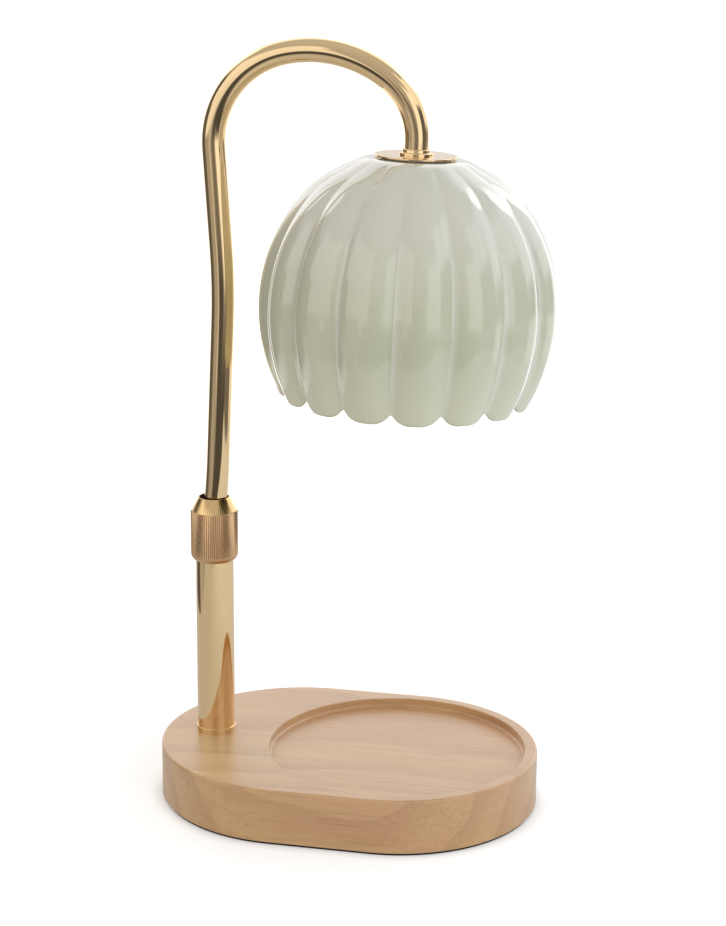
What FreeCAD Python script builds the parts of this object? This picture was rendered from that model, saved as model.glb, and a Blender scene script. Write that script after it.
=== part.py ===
import FreeCAD, Part
import math
import os

import Sketcher

# A candle warmer lamp: a wooden base with a seat for a candle jar, a post with a clamp nut,
# a swan-neck arm that slides and swivels in it, and a ribbed glass shade over a twist-in bulb.
# Millimetres, +Z up. The origin is the centre of the base's underside, +X runs from the post
# to the seat and -Y is the front.

SIZES = {
    # base
    "pad_thickness": 1.0,
    "pad_inset": 1.0,
    "base_height": 24.0,
    "base_end_radius": 60.0,
    "base_end_offset": 21.0,
    "base_edge_round": 1.2,
    "base_foot_chamfer": 0.4,
    "seat_radius": 54.6,
    "seat_depth": 3.8,
    "seat_round": 0.5,
    # cavity under the base
    "cavity_ceiling": 16.0,
    "nut_pocket_radius": 16.0,
    "wiring_near": 48.0,
    "wiring_far": 12.0,
    "wiring_half_width": 12.0,
    "channel_half_width": 5.0,
    "channel_end": 50.0,
    # cord inlet
    "gland_height": 9.5,
    "gland_radius": 4.5,
    "gland_bore_radius": 3.3,
    "gland_flange_radius": 6.5,
    "gland_flange": 1.6,
    "gland_chamfer": 0.6,
    "gland_nose": 1.2,
    # post and its fixing
    "post_offset": 59.1,
    "post_radius": 8.0,
    "post_wall": 1.5,
    "post_top": 108.0,
    "foot_ring_height": 2.6,
    "foot_ring_wall": 0.4,
    "foot_ring_chamfer": 0.25,
    "ring_gap": 0.05,
    "stud_radius": 5.0,
    "stud_bore_radius": 3.5,
    "stud_bottom": 9.5,
    "stud_top": 32.0,
    "stud_hole_gap": 0.2,
    "thread_gap": 0.02,
    "plug_height": 9.0,
    "washer_radius": 12.0,
    "washer_thickness": 1.5,
    "post_nut_flats": 14.0,
    "post_nut_height": 4.0,
    # arm
    "arm_radius": 4.9,
    "arm_wall": 1.3,
    "arm_bottom": 40.0,
    "bend_start": 114.5,
    "nut_bend_radius": 115.0,
    "nut_bend_angle": 5.34,
    "leg_run_low": 6.0,
    "leg_bend_radius": 300.0,
    "leg_bend_angle_low": 2.95,
    "leg_run_middle": 57.0,
    "leg_bend_angle_high": 6.13,
    "leg_run_high": 39.74,
    "shoulder_radius": 37.36,
    "shoulder_angle": 80.17,
    "crown_radius": 52.18,
    "crown_angle": 50.05,
    "drop_radius": 29.5,
    "drop_run": 5.0,
    # clamp
    "fit_gap": 0.05,
    "bush_bottom": 41.0,
    "bush_height": 8.0,
    "collet_bottom": 97.0,
    "collet_top": 114.0,
    "collet_seat_radius": 7.2,
    "collet_tip_radius": 5.6,
    "collet_rim": 0.6,
    "collet_slit": 0.8,
    "collet_whole": 3.0,
    "cone_gap": 0.15,
    "nut_bottom": 101.5,
    "nut_grip_bottom": 104.3,
    "nut_grip_top": 122.9,
    "nut_top": 129.0,
    "nut_radius": 10.0,
    "nut_foot_radius": 8.3,
    "nut_foot_round": 3.2,
    "nut_edge": 0.35,
    "nut_rim_radius": 6.75,
    "nut_rim_edge": 0.2,
    "nut_mouth_radius": 6.2,
    "nut_mouth_depth": 13.0,
    "nut_seat_gap": 0.4,
    "nut_flutes": 72.0,
    "flute_depth": 0.35,
    # head: sizes along its own axis, from the underside of the cap
    "head_tilt": 2.1,
    "cap_radius": 16.6,
    "cap_thickness": 0.8,
    "cap_edge": 0.2,
    "ferrule_foot_radius": 6.9,
    "ferrule_foot_height": 1.0,
    "ferrule_radius": 5.7,
    "ferrule_height": 1.4,
    "ferrule_edge": 0.3,
    "nipple_radius": 3.55,
    "nipple_bore_radius": 2.5,
    "nipple_engage": 6.0,
    "nipple_bottom": 17.0,
    "gasket_radius": 14.0,
    "gasket_thickness": 0.5,
    "clamp_washer_radius": 13.0,
    "clamp_washer_thickness": 1.2,
    "head_nut_flats": 12.0,
    "head_nut_height": 4.0,
    # glass shade
    "glass_wall": 4.0,
    "glass_hole_radius": 5.5,
    "glass_height": 98.5,
    "rib_count": 16.0,
    "rib_turn": 5.0,
    "scallop_height": 5.0,
    # lamp holder
    "cup_radius": 17.0,
    "cup_wall": 0.8,
    "cup_height": 23.0,
    "cup_corner": 1.5,
    "holder_radius": 15.0,
    "holder_edge": 0.8,
    "holder_top": 17.2,
    "holder_height": 18.8,
    "holder_plate": 3.0,
    "pin_spacing": 10.0,
    "pin_neck_radius": 1.5,
    "pin_head_radius": 2.4,
    "pin_head_height": 2.2,
    "pin_gap": 0.3,
    "pin_twist": 22.0,
    "slot_depth": 9.0,
    "clip_size": 3.4,
    "screw_offset": 10.5,
    "screw_radius": 1.5,
    "screw_head_radius": 2.8,
    "screw_head_height": 2.0,
    "screw_gap": 0.1,
    "screw_head_gap": 0.2,
    "counterbore_depth": 4.5,
    "lead_hole_gap": 0.4,
    "lead_hole_depth": 3.0,
    # bulb
    "bulb_gap": 0.4,
    "bulb_neck_radius": 10.0,
    "bulb_neck_height": 14.0,
    "bulb_solid_height": 11.6,
    "bulb_length": 47.6,
    "bulb_radius": 25.0,
    "bulb_rim_height": 6.0,
    "bulb_flare_radius": 60.0,
    "bulb_wall": 1.4,
    "lens_thickness": 2.2,
    "capsule_radius": 4.5,
    "capsule_length": 17.0,
    "capsule_wall": 0.8,
    "capsule_seal": 3.0,
    "filament_radius": 0.7,
    "filament_length": 4.4,
    "filament_wire_radius": 0.25,
    "filament_rise": 1.0,
    # wiring
    "lead_radius": 1.8,
    "lead_bend_radius": 6.0,
    "lead_height": 3.4,
    "lead_gap": 0.4,
    "lead_tail": 2.0,
    "block_centre": 27.0,
    "block_length": 16.0,
    "block_width": 18.0,
    "block_height": 9.0,
    "block_screw_pitch": 8.0,
    "block_screw_length": 2.8,
    "block_screw_inset": 0.2,
    "block_passage_radius": 1.9,
    "block_passage_height": 4.2,
}

# Crest radius of the shade's ribs and depth of the valleys between them, by the distance
# below the shade's top.
SHADE_SECTIONS = {
    "a": (0.0, 21.0, 0.3),
    "b": (4.0, 28.6, 0.7),
    "c": (9.0, 37.5, 1.2),
    "d": (16.5, 45.6, 1.9),
    "e": (26.5, 52.7, 2.4),
    "f": (38.5, 57.8, 2.8),
    "g": (50.5, 60.4, 3.0),
    "k": (62.5, 61.0, 3.1),
    "l": (74.5, 59.6, 3.2),
    "n": (86.0, 56.5, 3.2),
    "o": (93.5, 53.2, 3.2),
    "p": (98.5, 50.6, 3.2),
}

doc = FreeCAD.newDocument("candle_warmer_lamp")


# ---------------------------------------------------------------- sizes and their spreadsheet


class Length:
    """A number together with the spreadsheet expression that it comes from."""

    def __init__(self, value, text):
        self.value = value
        self.text = text

    def _with(self, other, sign, value):
        return Length(value, f"({self.text} {sign} {as_length(other).text})")

    def __add__(self, other):
        return self._with(other, "+", self.value + as_length(other).value)

    def __sub__(self, other):
        return self._with(other, "-", self.value - as_length(other).value)

    def __mul__(self, other):
        return self._with(other, "*", self.value * as_length(other).value)

    def __truediv__(self, other):
        return self._with(other, "/", self.value / as_length(other).value)

    def __rsub__(self, other):
        return as_length(other) - self

    def __rmul__(self, other):
        return as_length(other) * self

    def __radd__(self, other):
        return as_length(other) + self

    def __neg__(self):
        return as_length(0) - self


def as_length(value):
    """A plain number as a Length, and a Length as it is."""
    return value if isinstance(value, Length) else Length(float(value), f"{float(value)}")


def write_sheet():
    """Puts the driving sizes in the spreadsheet and returns them as Length objects."""
    sheet = doc.addObject("Spreadsheet::Sheet", "Sizes")
    cells = dict(SIZES)
    for mark, (below, crest, valley) in SHADE_SECTIONS.items():
        cells[f"section_{mark}_below"] = below
        cells[f"section_{mark}_crest"] = crest
        cells[f"section_{mark}_valley"] = valley
    lengths = {}
    for row, (alias, value) in enumerate(cells.items(), start=1):
        sheet.set(f"A{row}", alias.replace("_", " "))
        sheet.set(f"B{row}", str(value))
        sheet.setAlias(f"B{row}", alias)
        lengths[alias] = Length(value, f"Sizes.{alias}")
    doc.recompute()
    return lengths


class Named:
    """The sizes by name, as in size.post_radius."""

    def __init__(self, lengths):
        self.__dict__.update(lengths)


size = Named(write_sheet())


# ---------------------------------------------------------------- helpers for the sub-parts

SUBPARTS = []


def bind(thing, prop, length):
    """Ties a property to its cells."""
    thing.setExpression(prop, as_length(length).text)


def place(part, x=0, y=0, z=0, tilt=0):
    """Moves a finished sub-part, tilted about Y by tilt degrees."""
    where = FreeCAD.Vector(as_length(x).value, as_length(y).value, as_length(z).value)
    part.Placement = FreeCAD.Placement(where, FreeCAD.Rotation(FreeCAD.Vector(0, 1, 0), tilt))
    for axis, length in zip("xyz", (x, y, z)):
        if isinstance(length, Length):
            bind(part, f"Placement.Base.{axis}", length)


def subpart(part, label):
    """Registers an object of the document as a sub-part with its own node name."""
    part.Label = label
    SUBPARTS.append(part)
    return part


def new_body(label):
    return subpart(doc.addObject("PartDesign::Body", label), label)


def origin_plane(body, role):
    return [plane for plane in body.Origin.OriginFeatures if plane.Role == role][0]


def new_sketch(body, name, role="XY_Plane", height=0, turn=0):
    """A sketch on one of the body's origin planes, lifted along the plane's normal."""
    sketch = body.newObject("Sketcher::SketchObject", f"{body.Name}_{name}")
    sketch.AttachmentSupport = (origin_plane(body, role), [""])
    sketch.MapMode = "FlatFace"
    lift = FreeCAD.Vector(0, 0, as_length(height).value)
    spin = FreeCAD.Rotation(FreeCAD.Vector(0, 1, 0), turn)
    sketch.AttachmentOffset = FreeCAD.Placement(lift, spin)
    if isinstance(height, Length):
        bind(sketch, "AttachmentOffset.Base.z", height)
    return sketch


def pin_point(sketch, edge, end, x, y):
    """Fixes a point of the sketch to two coordinates."""
    for kind, length in (("DistanceX", x), ("DistanceY", y)):
        value = as_length(length)
        index = sketch.addConstraint(Sketcher.Constraint(kind, -1, 1, edge, end, value.value))
        if isinstance(length, Length):
            bind(sketch, f"Constraints[{index}]", value)


def arc_centre(start, end, radius):
    """Centre of the arc from start to end, on the left of the chord if radius is positive."""
    chord = end - start
    across = FreeCAD.Vector(-chord.y, chord.x, 0).normalize()
    rise = math.sqrt(max(radius**2 - (chord.Length / 2) ** 2, 0))
    return (start + end) * 0.5 + across * math.copysign(rise, radius)


def add_arc(sketch, start, end, centre, clockwise):
    """An arc in a sketch. Returns its number and the ends that lie at start and end."""
    first, last = (end, start) if clockwise else (start, end)
    low = math.atan2(first.y - centre.y, first.x - centre.x)
    high = math.atan2(last.y - centre.y, last.x - centre.x)
    if high < low:
        high += 2 * math.pi
    radius = (start - centre).Length
    arc = Part.ArcOfCircle(Part.Circle(centre, FreeCAD.Vector(0, 0, 1), radius), low, high)
    edge = sketch.addGeometry(arc)
    return (edge, 2, 1) if clockwise else (edge, 1, 2)


def outline(sketch, points):
    """A closed outline through points, each a pair of lengths.

    A point with a third length starts an arc of that radius to the next point: the arc turns
    left where the radius is positive and right where it is negative.
    """
    flat = [FreeCAD.Vector(as_length(point[0]).value, as_length(point[1]).value, 0) for point in points]
    edges = []
    for i, point in enumerate(points):
        start, end = flat[i], flat[(i + 1) % len(points)]
        if len(point) == 2:
            edges.append((sketch.addGeometry(Part.LineSegment(start, end)), 1, 2))
            continue
        radius = as_length(point[2])
        right = radius.value < 0
        centre = arc_centre(start, end, radius.value)
        edges.append(add_arc(sketch, start, end, centre, right))
        index = sketch.addConstraint(Sketcher.Constraint("Radius", edges[-1][0], abs(radius.value)))
        bind(sketch, f"Constraints[{index}]", -radius if right else radius)
    for i, (edge, tail, head) in enumerate(edges):
        after, after_tail, _ = edges[(i + 1) % len(edges)]
        sketch.addConstraint(Sketcher.Constraint("Coincident", edge, head, after, after_tail))
        pin_point(sketch, edge, tail, *points[i][:2])


def circle(sketch, radius, x=0, y=0):
    """A circle with its radius and centre bound to the sheet."""
    centre = FreeCAD.Vector(as_length(x).value, as_length(y).value, 0)
    edge = sketch.addGeometry(Part.Circle(centre, FreeCAD.Vector(0, 0, 1), as_length(radius).value))
    pin_point(sketch, edge, 3, x, y)
    index = sketch.addConstraint(Sketcher.Constraint("Radius", edge, as_length(radius).value))
    bind(sketch, f"Constraints[{index}]", radius)


def stadium(sketch, radius, offset):
    """Two half circles of one radius, offset along X, joined by straight edges."""
    r = as_length(radius).value
    c = as_length(offset).value
    up = FreeCAD.Vector(0, 0, 1)
    right = Part.ArcOfCircle(Part.Circle(FreeCAD.Vector(c, 0, 0), up, r), -math.pi / 2, math.pi / 2)
    left = Part.ArcOfCircle(Part.Circle(FreeCAD.Vector(-c, 0, 0), up, r), math.pi / 2, 3 * math.pi / 2)
    top = Part.LineSegment(FreeCAD.Vector(c, r, 0), FreeCAD.Vector(-c, r, 0))
    bottom = Part.LineSegment(FreeCAD.Vector(-c, -r, 0), FreeCAD.Vector(c, -r, 0))
    edges = [sketch.addGeometry(shape) for shape in (right, top, left, bottom)]
    for i, edge in enumerate(edges):
        sketch.addConstraint(Sketcher.Constraint("Tangent", edge, 2, edges[(i + 1) % 4], 1))
    pin_point(sketch, edges[0], 3, offset, 0)
    pin_point(sketch, edges[2], 3, -offset, 0)
    index = sketch.addConstraint(Sketcher.Constraint("Radius", edges[0], r))
    bind(sketch, f"Constraints[{index}]", radius)


def pad(body, sketch, height):
    """Raises a sketch along its normal."""
    feature = body.newObject("PartDesign::Pad", f"{sketch.Name}_pad")
    feature.Profile = sketch
    feature.Length = as_length(height).value
    bind(feature, "Length", height)
    doc.recompute()
    return feature


def pocket(body, sketch, depth, along_normal=False):
    """Cuts a sketch into the body, and checks that it took material away."""
    before = body.Shape.Volume
    feature = body.newObject("PartDesign::Pocket", f"{sketch.Name}_cut")
    feature.Profile = sketch
    feature.Reversed = along_normal
    feature.Length = as_length(depth).value
    bind(feature, "Length", depth)
    doc.recompute()
    if body.Shape.Volume > before - 0.01:
        raise RuntimeError(f"{feature.Name} cuts nothing")
    return feature


def revolve(body, name, points):
    """Turns an outline in the XZ plane, given as radius and height, about the Z axis."""
    sketch = new_sketch(body, name, "XZ_Plane")
    outline(sketch, points)
    feature = body.newObject("PartDesign::Revolution", f"{sketch.Name}_turned")
    feature.Profile = sketch
    feature.ReferenceAxis = (sketch, ["V_Axis"])
    feature.Angle = 360.0
    doc.recompute()
    return feature


def turned(label, points):
    """A sub-part turned on a lathe."""
    body = new_body(label)
    revolve(body, "profile", points)
    return body


def ring(label, inner, outer, low, high):
    """A plain ring or tube."""
    return turned(label, [(inner, low), (outer, low), (outer, high), (inner, high)])


def edges_at(shape, z, radius=None):
    """Names of the edges that lie flat at a height, and on a radius if one is given."""
    names = []
    for number, edge in enumerate(shape.Edges, start=1):
        box = edge.BoundBox
        if abs(box.ZMin - z) > 0.001 or abs(box.ZMax - z) > 0.001:
            continue
        if radius is None or (hasattr(edge.Curve, "Radius") and abs(edge.Curve.Radius - radius) < 0.001):
            names.append(f"Edge{number}")
    return names


def dress(body, kind, base, names, amount):
    """A fillet or chamfer on named edges."""
    feature = body.newObject(f"PartDesign::{kind}", f"{body.Name}_{kind.lower()}")
    feature.Base = (base, names)
    prop = "Radius" if kind == "Fillet" else "Size"
    setattr(feature, prop, as_length(amount).value)
    bind(feature, prop, amount)
    doc.recompute()
    return feature


def repeat_round(body, feature, count):
    """Repeats a cut evenly round the Z axis."""
    pattern = body.newObject("PartDesign::PolarPattern", f"{feature.Name}_round")
    pattern.Originals = [feature]
    z_axis = [axis for axis in body.Origin.OriginFeatures if axis.Role == "Z_Axis"][0]
    pattern.Axis = (z_axis, [""])
    pattern.Angle = 360.0
    pattern.Occurrences = int(as_length(count).value)
    body.Tip = pattern
    doc.recompute()
    return pattern


def cylinder(name, radius, height, x=0, y=0, z=0):
    """A plain cylinder along Z for the booleans."""
    shape = doc.addObject("Part::Cylinder", name)
    bind(shape, "Radius", radius)
    bind(shape, "Height", height)
    place(shape, x, y, z)
    return shape


def block(name, length, width, height, x=0, y=0, z=0):
    """A plain box for the booleans, with its corner at x, y, z."""
    shape = doc.addObject("Part::Box", name)
    bind(shape, "Length", length)
    bind(shape, "Width", width)
    bind(shape, "Height", height)
    place(shape, x, y, z)
    return shape


def fused(name, shapes):
    joined = doc.addObject("Part::MultiFuse", name)
    joined.Shapes = shapes
    return joined


def cut_from(label, whole, tool):
    """A sub-part made by a boolean cut."""
    result = doc.addObject("Part::Cut", label)
    result.Base = whole
    result.Tool = tool
    return subpart(result, label)


def separate(label, shapes):
    """Like pieces that share one node, kept as separate solids."""
    group = doc.addObject("Part::Compound", label)
    group.Links = shapes
    return subpart(group, label)


# ---------------------------------------------------------------- base

POST_X = -size.post_offset
base_top = size.base_height
pocket_depth = size.cavity_ceiling - size.pad_thickness


def make_base_block():
    """The wooden base: seat on top, pocket and wiring channel underneath."""
    body = new_body("base_block")
    plan = new_sketch(body, "plan", height=size.pad_thickness)
    stadium(plan, size.base_end_radius, size.base_end_offset)
    blank = pad(body, plan, base_top - size.pad_thickness)
    rounded = dress(body, "Fillet", blank, edges_at(blank.Shape, base_top.value), size.base_edge_round)
    foot_edges = edges_at(rounded.Shape, size.pad_thickness.value)
    dress(body, "Chamfer", rounded, foot_edges, size.base_foot_chamfer)

    seat = new_sketch(body, "seat", height=base_top)
    circle(seat, size.seat_radius, size.base_end_offset)
    seat_cut = pocket(body, seat, size.seat_depth)
    seat_rim = edges_at(seat_cut.Shape, base_top.value, size.seat_radius.value)
    dress(body, "Fillet", seat_cut, seat_rim, size.seat_round)

    stud_hole = new_sketch(body, "stud_hole", height=base_top)
    circle(stud_hole, size.stud_radius + size.stud_hole_gap, POST_X)
    pocket(body, stud_hole, base_top - size.pad_thickness)

    nut_pocket = new_sketch(body, "nut_pocket", height=size.pad_thickness)
    circle(nut_pocket, size.nut_pocket_radius, POST_X)
    pocket(body, nut_pocket, pocket_depth, along_normal=True)

    wiring = new_sketch(body, "wiring", height=size.pad_thickness)
    channel_left = -size.base_end_offset - size.channel_half_width
    channel_right = -size.base_end_offset + size.channel_half_width
    outline(
        wiring,
        [
            (-size.wiring_near, -size.wiring_half_width),
            (-size.wiring_far, -size.wiring_half_width),
            (-size.wiring_far, size.wiring_half_width),
            (channel_right, size.wiring_half_width),
            (channel_right, size.channel_end),
            (channel_left, size.channel_end),
            (channel_left, size.wiring_half_width),
            (-size.wiring_near, size.wiring_half_width),
        ],
    )
    pocket(body, wiring, pocket_depth, along_normal=True)

    inlet = new_sketch(body, "inlet", "XZ_Plane", height=-size.base_end_radius)
    circle(inlet, size.gland_radius, -size.base_end_offset, size.gland_height)
    pocket(body, inlet, size.base_end_radius - size.channel_end + 1, along_normal=True)


def make_base_pad():
    """The thin soft pad that covers the underside."""
    body = new_body("base_pad")
    plan = new_sketch(body, "plan")
    stadium(plan, size.base_end_radius - size.pad_inset, size.base_end_offset)
    pad(body, plan, size.pad_thickness)


def make_cord_gland():
    """The flanged bush of the cord inlet, pressed into its hole from the back."""
    bore = size.gland_bore_radius
    flange = size.gland_flange
    chamfer = size.gland_chamfer
    wall = size.base_end_radius - size.channel_end
    body = new_body("cord_gland")
    revolve(
        body,
        "profile",
        [
            (bore, flange),
            (size.gland_flange_radius - chamfer, flange),
            (size.gland_flange_radius, flange - chamfer),
            (size.gland_flange_radius, 0),
            (size.gland_radius, 0),
            (size.gland_radius, -wall),
            (size.gland_radius - chamfer, -wall - size.gland_nose),
            (bore, -wall - size.gland_nose),
        ],
    )
    back = FreeCAD.Rotation(FreeCAD.Vector(1, 0, 0), -90)
    inlet = FreeCAD.Vector(-size.base_end_offset.value, size.base_end_radius.value, size.gland_height.value)
    body.Placement = FreeCAD.Placement(inlet, back)
    bind(body, "Placement.Base.x", -size.base_end_offset)
    bind(body, "Placement.Base.y", size.base_end_radius)
    bind(body, "Placement.Base.z", size.gland_height)


# ---------------------------------------------------------------- post and clamp

post_bore = size.post_radius - size.post_wall


def hexagon(label, flats, bore, low, high):
    """A plain hexagon nut."""
    body = new_body(label)
    plan = new_sketch(body, "plan", height=low)
    corner = flats / (2 * math.cos(math.pi / 6))
    points = []
    for k in range(6):
        angle = math.radians(60 * k)
        points.append((corner * round(math.cos(angle), 6), corner * round(math.sin(angle), 6)))
    outline(plan, points)
    circle(plan, bore)
    pad(body, plan, high - low)
    return body


def make_post():
    """The post with its plug, stud, washer and nut, and the ring round its foot."""
    wall_gap = size.thread_gap
    washer_top = size.cavity_ceiling
    washer_bottom = washer_top - size.washer_thickness
    nut_low = washer_bottom - size.post_nut_height
    ring_bore = size.post_radius + size.ring_gap
    ring_outer = ring_bore + size.foot_ring_wall
    ring_top = base_top + size.foot_ring_height
    stud_clear = size.stud_radius + wall_gap
    parts = [
        ring("post_tube", post_bore, size.post_radius, base_top, size.post_top),
        turned(
            "foot_ring",
            [
                (ring_bore, base_top),
                (ring_outer, base_top),
                (ring_outer, ring_top - size.foot_ring_chamfer),
                (ring_outer - size.foot_ring_chamfer, ring_top),
                (ring_bore, ring_top),
            ],
        ),
        ring("post_plug", stud_clear, post_bore, base_top, base_top + size.plug_height),
        ring("post_stud", size.stud_bore_radius, size.stud_radius, size.stud_bottom, size.stud_top),
        ring("post_washer", stud_clear, size.washer_radius, washer_bottom, washer_top),
        hexagon("post_nut", size.post_nut_flats, stud_clear, nut_low, washer_bottom),
    ]
    for part in parts:
        place(part, x=POST_X)


def make_clamp_nut():
    """The knurled nut: threaded over the post's end, with a cone inside that closes the collet."""
    thread = size.post_radius + size.fit_gap
    seat = size.collet_seat_radius + size.cone_gap
    tip = size.collet_tip_radius + size.cone_gap
    seat_low = size.post_top + size.nut_seat_gap
    edge = size.nut_edge
    body = new_body("clamp_nut")
    revolve(
        body,
        "profile",
        [
            (thread, size.nut_bottom),
            (size.nut_foot_radius, size.nut_bottom, size.nut_foot_round),
            (size.nut_radius, size.nut_grip_bottom),
            (size.nut_radius, size.nut_grip_top),
            (size.nut_radius - edge, size.nut_grip_top + edge),
            (size.nut_rim_radius, size.nut_top - size.nut_rim_edge),
            (size.nut_rim_radius - size.nut_rim_edge, size.nut_top),
            (size.nut_mouth_radius, size.nut_top),
            (size.nut_mouth_radius, size.nut_top - size.nut_mouth_depth),
            (tip, size.collet_top + size.collet_rim),
            (seat, seat_low),
            (thread, seat_low),
        ],
    )
    flute_low = (size.nut_bottom + size.nut_grip_bottom) / 2
    flute = new_sketch(body, "flute", height=flute_low)
    half_width = size.flute_depth * 1.1
    outline(
        flute,
        [
            (size.nut_radius - size.flute_depth, 0),
            (size.nut_radius + size.flute_depth, -2 * half_width),
            (size.nut_radius + size.flute_depth, 2 * half_width),
        ],
    )
    cut = pocket(body, flute, size.nut_grip_top - flute_low, along_normal=True)
    repeat_round(body, cut, size.nut_flutes)
    place(body, x=POST_X)


def make_collet():
    """The split cone round the arm, resting on the post's end inside the nut."""
    bore = size.arm_radius + size.fit_gap
    body = new_body("collet")
    revolve(
        body,
        "profile",
        [
            (bore, size.collet_bottom),
            (post_bore - size.fit_gap, size.collet_bottom),
            (post_bore - size.fit_gap, size.post_top + size.cone_gap),
            (size.collet_seat_radius, size.post_top + size.cone_gap),
            (size.collet_seat_radius, size.post_top + size.collet_rim),
            (size.collet_tip_radius, size.collet_top),
            (bore, size.collet_top),
        ],
    )
    slit = new_sketch(body, "slit", height=size.collet_top)
    half = size.collet_slit / 2
    inner = size.arm_radius - 1
    outer = size.nut_radius
    outline(slit, [(inner, -half), (outer, -half), (outer, half), (inner, half)])
    cut = pocket(body, slit, size.collet_top - size.collet_bottom - size.collet_whole)
    repeat_round(body, cut, as_length(3))
    place(body, x=POST_X)


# ---------------------------------------------------------------- arm

# The arm's centreline, from its lower end up: straight runs and arcs, all tangent. A bend's
# angle is positive where it turns towards the shade.
drop_angle = (
    180 + size.head_tilt - size.nut_bend_angle + size.leg_bend_angle_low + size.leg_bend_angle_high
    - size.shoulder_angle - size.crown_angle
)
ARM_PATH = [
    ("run", size.bend_start - size.arm_bottom, None),
    ("bend", size.nut_bend_radius, size.nut_bend_angle),
    ("run", size.leg_run_low, None),
    ("bend", size.leg_bend_radius, -size.leg_bend_angle_low),
    ("run", size.leg_run_middle, None),
    ("bend", size.leg_bend_radius, -size.leg_bend_angle_high),
    ("run", size.leg_run_high, None),
    ("bend", size.shoulder_radius, size.shoulder_angle),
    ("bend", size.crown_radius, size.crown_angle),
    ("bend", size.drop_radius, drop_angle),
    ("run", size.drop_run, None),
]


def walk_path(path, height):
    """Start, end and centre of each piece of a path that starts upwards at x = 0."""
    x, z, heading = 0.0, height, math.pi / 2
    for kind, length, angle in path:
        start = FreeCAD.Vector(x, z, 0)
        if kind == "run":
            x += length.value * math.cos(heading)
            z += length.value * math.sin(heading)
            yield start, FreeCAD.Vector(x, z, 0), None, 0.0
        else:
            side = 1 if angle.value > 0 else -1
            turn = math.radians(angle.value)
            centre = FreeCAD.Vector(
                x + side * length.value * math.sin(heading), z - side * length.value * math.cos(heading), 0
            )
            heading -= turn
            x = centre.x - side * length.value * math.sin(heading)
            z = centre.y + side * length.value * math.cos(heading)
            yield start, FreeCAD.Vector(x, z, 0), centre, turn


def path_sketch(body, path, height):
    """The path in the XZ plane, its radii, lengths and angles bound to the sheet."""
    sketch = new_sketch(body, "path", "XZ_Plane")
    edges = []
    for (kind, length, angle), (start, end, centre, turn) in zip(path, walk_path(path, height.value)):
        if kind == "run":
            edge = sketch.addGeometry(Part.LineSegment(start, end))
            tail, head = 1, 2
            index = sketch.addConstraint(Sketcher.Constraint("Distance", edge, length.value))
        else:
            edge, tail, head = add_arc(sketch, start, end, centre, turn > 0)
            index = sketch.addConstraint(Sketcher.Constraint("Radius", edge, length.value))
        bind(sketch, f"Constraints[{index}]", length)
        if edges:
            sketch.addConstraint(Sketcher.Constraint("Tangent", edges[-1][0], edges[-1][2], edge, tail))
        if kind == "bend":
            span = sketch.addConstraint(Sketcher.Constraint("Angle", edge, abs(turn)))
            bind(sketch, f"Constraints[{span}]", (angle if turn > 0 else -angle) * Length(1, "1 deg"))
        edges.append((edge, tail, head))
    pin_point(sketch, edges[0][0], 1, 0, height)
    sketch.addConstraint(Sketcher.Constraint("Vertical", edges[0][0]))
    return sketch


def path_end(path, height):
    """Where the path ends, as x and z."""
    end = list(walk_path(path, height))[-1][1]
    return end.x, end.y


def swept(label, path, height, radii):
    """A sub-part swept along a path, with one circle, or two for a tube."""
    body = new_body(label)
    profile = new_sketch(body, "profile", height=height)
    for radius in radii:
        circle(profile, radius)
    spine = path_sketch(body, path, height)
    doc.recompute()
    sweep = body.newObject("PartDesign::AdditivePipe", f"{label}_sweep")
    sweep.Profile = profile
    sweep.Spine = spine
    doc.recompute()
    section = math.pi * radii[0].value ** 2
    if len(radii) == 2:
        section -= math.pi * radii[1].value ** 2
    expected = section * sum(edge.Length for edge in spine.Shape.Edges)
    if abs(sweep.Shape.Volume / expected - 1) > 0.01:
        raise RuntimeError(f"{label} has volume {sweep.Shape.Volume}, and its path says {expected}")
    return body


def make_arm():
    """The arm tube and the bush on its lower end."""
    tube = swept("arm_tube", ARM_PATH, size.arm_bottom, (size.arm_radius, size.arm_radius - size.arm_wall))
    bush_top = size.bush_bottom + size.bush_height
    bush = ring("guide_bush", size.arm_radius, post_bore - size.fit_gap, size.bush_bottom, bush_top)
    for part in (tube, bush):
        place(part, x=POST_X)


# ---------------------------------------------------------------- wiring

ARM_END_X, ARM_END_Z = path_end(ARM_PATH, size.arm_bottom.value)


def make_leads():
    """The lead in three stretches: base to stud, slack in the post, and up through the arm."""
    lead = size.lead_radius
    base_path = [
        ("run", size.stud_top - size.lead_height - size.lead_bend_radius, None),
        ("bend", size.lead_bend_radius, as_length(90)),
        ("run", size.post_offset - size.block_centre - size.block_length / 2 - size.lead_bend_radius, None),
    ]
    base_lead = swept("base_lead", base_path, as_length(0), (lead,))
    down = FreeCAD.Rotation(FreeCAD.Vector(1, 0, 0), 180)
    base_lead.Placement = FreeCAD.Placement(FreeCAD.Vector(POST_X.value, 0, size.stud_top.value), down)
    bind(base_lead, "Placement.Base.x", POST_X)
    bind(base_lead, "Placement.Base.z", size.stud_top)

    post_lead = new_body("post_lead")
    foot = new_sketch(post_lead, "section", height=size.stud_top + size.lead_gap)
    circle(foot, lead)
    pad(post_lead, foot, size.arm_bottom - size.stud_top - 2 * size.lead_gap)
    place(post_lead, x=POST_X)

    through_head = size.drop_run + size.cap_thickness + size.nipple_bottom + size.lead_tail
    arm_lead = swept("arm_lead", ARM_PATH[:-1] + [("run", through_head, None)], size.arm_bottom, (lead,))
    place(arm_lead, x=POST_X)


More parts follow.
